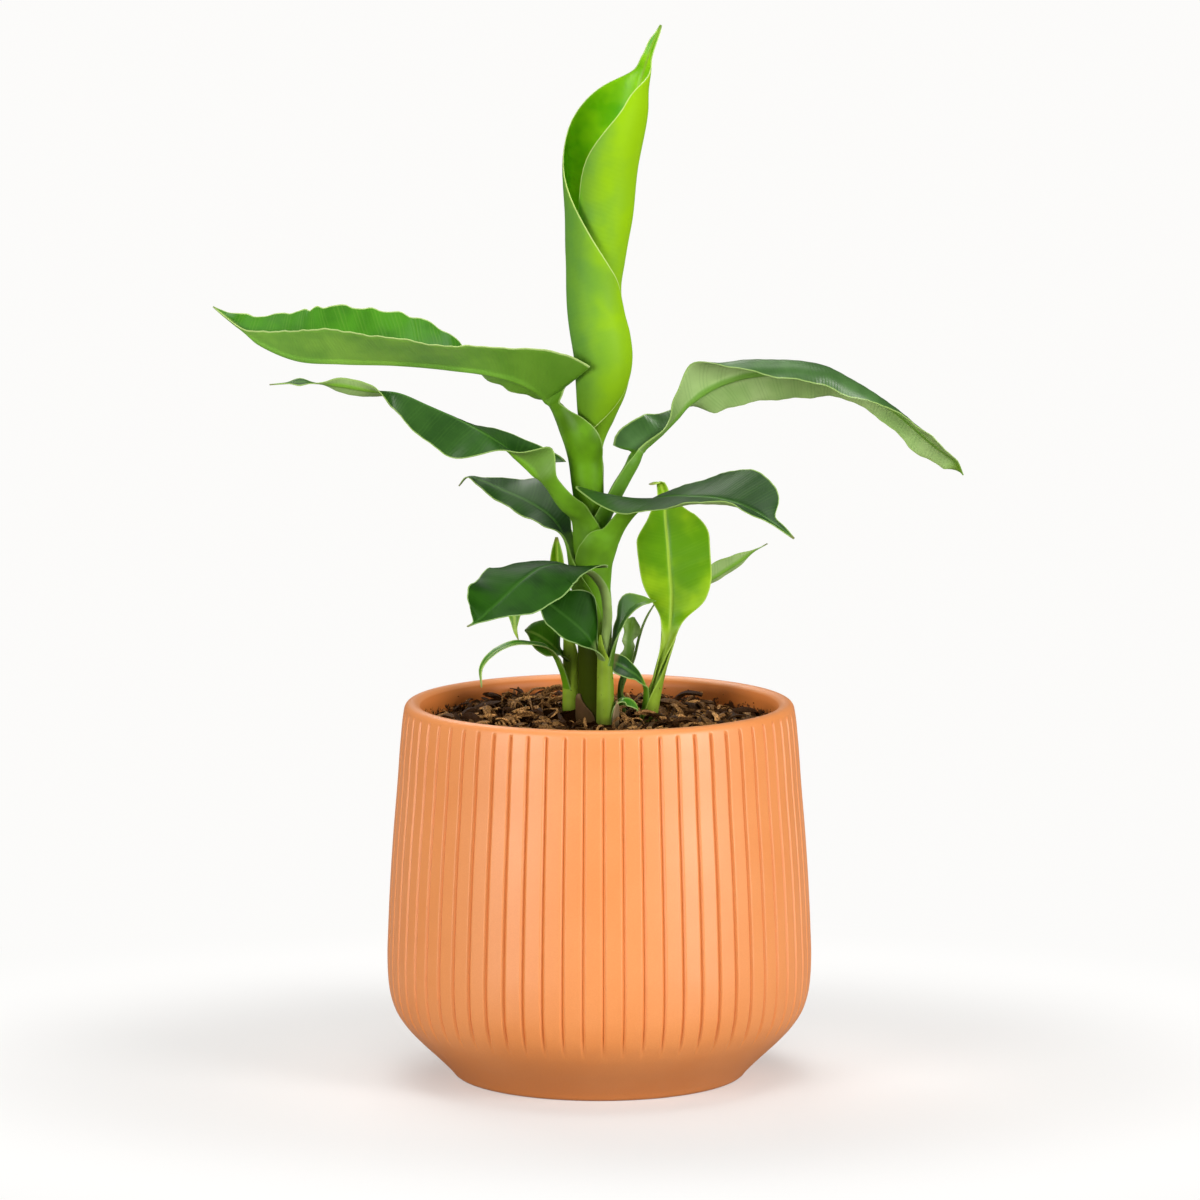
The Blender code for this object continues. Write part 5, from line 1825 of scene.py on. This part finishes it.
    def lying(self, dice: random.Random, x: float, y: float, lift: float, size: Triple,
              tilt: float) -> Matrix:
        """Where a small thing lies on the soil.

        Args:
            dice: The random source.
            x: Place along X.
            y: Place along Y.
            lift: Height over the surface.
            size: Size along its three axes.
            tilt: Most that it tilts, in radians.

        Returns:
            Its placing matrix, in metres.
        """
        return (Matrix.Translation(Vector((x, y, self.height_at(x, y) + lift)) * MM)
                @ Matrix.Rotation(dice.uniform(0, math.tau), 4, "Z")
                @ Matrix.Rotation(dice.uniform(-tilt, tilt), 4, "Y")
                @ Matrix.Rotation(dice.uniform(-tilt, tilt), 4, "X")
                @ Matrix.Diagonal((size[0] * MM, size[1] * MM, size[2] * MM, 1.0)))

    def shred_places(self, dice: random.Random) -> list[tuple[Matrix, float]]:
        """Places and tones of the bark shreds, most of them dark."""
        places = []
        for _ in range(self.shreds):
            length = dice.choice(self.shred_lengths) * dice.uniform(0.8, 1.2)
            x, y = self.spot(dice, self.strewn_reach - length / 2, length * 0.4)
            size = (length, length * dice.uniform(0.7, 1.2), length * dice.uniform(0.8, 1.3))
            place = self.lying(dice, x, y, dice.uniform(0.1, 1.8), size, 0.8)
            places.append((place, 0.04 + 1.6 * dice.random() ** self.rarity))
        return places

    def crumb_places(self, dice: random.Random) -> list[tuple[Matrix, float]]:
        """Places and tones of the crumbs on the soil, and of those splashed up the pot's inner wall."""
        places = []
        for _ in range(self.crumbs):
            size = dice.uniform(0.5, 2.1)
            x, y = self.spot(dice, self.strewn_reach + 0.4 - size / 2, 0.2)
            place = self.lying(dice, x, y, size * 0.25, (size, size, size), 1.0)
            places.append((place, dice.random() ** self.rarity))
        for _ in range(self.splashes):
            size, angle = dice.uniform(0.4, 1.0), dice.uniform(0, math.tau)
            climb = dice.random() ** 2 * self.splash_climb
            radius = self.splash_radius - 0.1 * climb
            centre = Vector((radius * math.cos(angle), radius * math.sin(angle), self.splash_foot + climb))
            place = Matrix.Translation(centre * MM) @ Matrix.Scale(size * MM, 4)
            places.append((place, dice.random() ** self.rarity))
        return places

    def perlite_places(self, dice: random.Random) -> list[tuple[Matrix, float]]:
        """Places and tones of the pale bits."""
        places = []
        for _ in range(self.pale_bits):
            size = 0.5 + 1.5 * dice.random() ** self.rarity
            x, y = self.spot(dice, self.strewn_reach - 2.0, 1.0)
            place = self.lying(dice, x, y, size * 0.3 + 0.4, (size, size * 0.8, size), 1.0)
            places.append((place, dice.random()))
        return places

    def dress(self, item: Object, material: Material, smooth_angle: float = 0.0,
              nodes: tuple[str, ...] = ()) -> None:
        """Give a piece of the soil its material and shading, and settle it.

        Args:
            item: The piece.
            material: Its material.
            smooth_angle: Sharper edges than this stay hard, in degrees. At 0 all faces stay flat.
            nodes: The CAD nodes that it stands for.
        """
        item.data.materials.append(material)
        if smooth_angle:
            smooth(item, smooth_angle)
        settle(item, "potting_soil", *nodes)

    def make(self, groups: Groups) -> None:
        """Build and dress the soil and what lies on it, all from one random source.

        Args:
            groups: The shared shader groups.
        """
        dice = random.Random(self.seed)
        self.dress(self.build_bed(), PEAT.material(groups), 60, ("soil",))
        shapes = [self.shred_shape(dice) for _ in range(self.shred_kinds)]
        shreds = self.strew("bark_shreds", shapes, self.shred_places(dice))
        self.dress(shreds, BARK.material(groups), 35)
        shapes = [self.crumb_shape(dice, 1) for _ in range(self.crumb_kinds)]
        crumbs = self.strew("soil_crumbs", shapes, self.crumb_places(dice))
        self.dress(crumbs, CRUMB.material(groups))
        shapes = [self.crumb_shape(dice, 2) for _ in range(self.pale_kinds)]
        pale = self.strew("perlite", shapes, self.perlite_places(dice))
        self.dress(pale, PERLITE.material(groups), 40)


@dataclass
class Studio:
    """Floor, backdrop, lights and camera."""

    camera_y: float = -2905.0
    camera_z: float = 621.9
    pitch: float = 7.79
    lens: float = 188.0
    shift_x: float = 0.0006
    floor_rows: int = 24
    half_width: float = 30000.0
    level_share: float = 0.55
    sweep_share: float = 0.3
    sweep_start: float = 2400.0
    sweep_radius: float = 1200.0
    rise: float = 16000.0
    near_start: float = 0.08
    near_end: float = 0.50
    deeper: float = 1.3
    near_fall: float = 1.4
    near_glow: float = 0.30
    far_glow: float = 0.975
    glow_fall: float = 0.82
    glow_colour: Colour = (1.0, 0.993, 0.98)
    air_colour: Colour = (1.0, 0.995, 0.985)
    air_strength: float = 0.32
    seen_grey: Colour = (0.62, 0.62, 0.62)
    bounced_grey: Colour = (0.34, 0.335, 0.33)
    warm: Colour = (1.0, 0.985, 0.96)
    sensor: float = 36.0
    softboxes: tuple[tuple[str, Triple, Triple, Point, float], ...] = (
        ("left_softbox", (-1.53, -1.58, 0.60), (0, 0, 0.2), (0.95, 1.1), 32.0),
        ("right_softbox", (1.64, -1.22, 0.60), (0, 0, 0.2), (0.75, 1.1), 36.0),
        ("front_softbox", (0.2, -2.6, 1.7), (0, 0, 0.2), (1.2, 1.2), 9.0),
        ("top_softbox", (0.1, 0.1, 2.2), (0, 0, 0.2), (1.3, 1.3), 16.0),
        ("back_softbox", (-0.5, 1.6, 1.9), (0, 0, 0.3), (1.4, 1.0), 18.0))

    def floor(self) -> None:
        """A pale floor that sweeps up into the backdrop."""
        item, column, row = flat_grid("studio_floor", 2, self.floor_rows)
        t = row / self.floor_rows
        upright = self.level_share + self.sweep_share
        run = self.half_width + self.sweep_start
        sweep = np.clip((t - self.level_share) / self.sweep_share, 0, 1) * math.pi / 2
        level = t < self.level_share
        y = np.where(level, -self.half_width + t / self.level_share * run,
                     self.sweep_start + self.sweep_radius * np.sin(sweep))
        wall = np.clip(t - upright, 0, 1) * self.rise
        z = np.where(level, 0, self.sweep_radius * (1 - np.cos(sweep)) + wall)
        place_vertices(item.data, np.stack([(column - 1.0) * self.half_width, y, z], axis=1))
        item.data.materials.append(self.paper())
        smooth(item, 60)

    def paper(self) -> Material:
        """The floor's material: near the pot it takes shade, further off it glows evenly."""
        material, wiring, shader = new_material("studio_paper")
        seen = wiring.add("LightPath").outputs["Is Camera Ray"]
        spot = wiring.add("VectorMath", operation="LENGTH")
        wiring.feed(spot, "Vector", wiring.stretched(wiring.object_place(), (1.0, self.deeper, 1.0)))
        near = wiring.span(spot.outputs["Value"], self.near_start, self.near_end, 1.0, 0.0)
        near = wiring.math("POWER", near, self.near_fall)
        shown = wiring.blend(near, (0.0, 0.0, 0.0), self.seen_grey)
        wiring.feed(shader, "Base Color", wiring.blend(seen, self.bounced_grey, shown))
        wiring.feed(shader, "Roughness", 1.0)
        wiring.feed(shader, "Specular IOR Level", 0.0)
        wiring.feed(shader, "Emission Color", self.glow_colour)
        fall = wiring.math("POWER", near, self.glow_fall)
        glow = wiring.span(fall, 0.0, 1.0, self.far_glow, self.near_glow)
        wiring.feed(shader, "Emission Strength", wiring.math("MULTIPLY", seen, glow))
        return material

    def light(self, name: str, place: Triple, aim: Triple, size: Point, power: float) -> None:
        """Add one soft light.

        Args:
            name: Its name.
            place: Where it stands, in metres.
            aim: What it points at.
            size: Its width and height, in metres.
            power: Watts.
        """
        data = bpy.data.lights.new(name, "AREA")
        data.shape, data.energy, data.color = "RECTANGLE", power, self.warm
        data.size, data.size_y = size
        item = bpy.data.objects.new(name, data)
        bpy.context.scene.collection.objects.link(item)
        item.location = place
        item.rotation_euler = (Vector(aim) - Vector(place)).to_track_quat("-Z", "Y").to_euler()

    def make(self) -> None:
        """Set up the whole studio."""
        scene = bpy.context.scene
        scene.view_settings.view_transform = "Standard"
        world = bpy.data.worlds.new("studio_air")
        world.use_nodes = True
        air = world.node_tree.nodes["Background"]
        air.inputs["Color"].default_value = (*self.air_colour, 1.0)
        air.inputs["Strength"].default_value = self.air_strength
        scene.world = world
        self.floor()
        for softbox in self.softboxes:
            self.light(*softbox)
        data = bpy.data.cameras.new("photo_camera")
        data.lens, data.sensor_width, data.shift_x = self.lens, self.sensor, self.shift_x
        camera = bpy.data.objects.new("photo_camera", data)
        scene.collection.objects.link(camera)
        camera.location = (0.0, self.camera_y * MM, self.camera_z * MM)
        camera.rotation_euler = (math.radians(90.0 - self.pitch), 0.0, 0.0)
        scene.camera = camera


def main() -> None:
    """Build the studio, the pot, the soil and the plant."""
    logging.basicConfig(level=logging.INFO, format="%(message)s")
    groups = Groups(cross_veins_group(), blotch_group(), grain_group())
    Studio().make()
    log.info("studio ready")
    pot = Pot()
    pot.dress(pot.build(), groups)
    PottingSoil().make(groups)
    Plant().make(groups)
    log.info("plant ready")


if __name__ == "__main__":
    main()
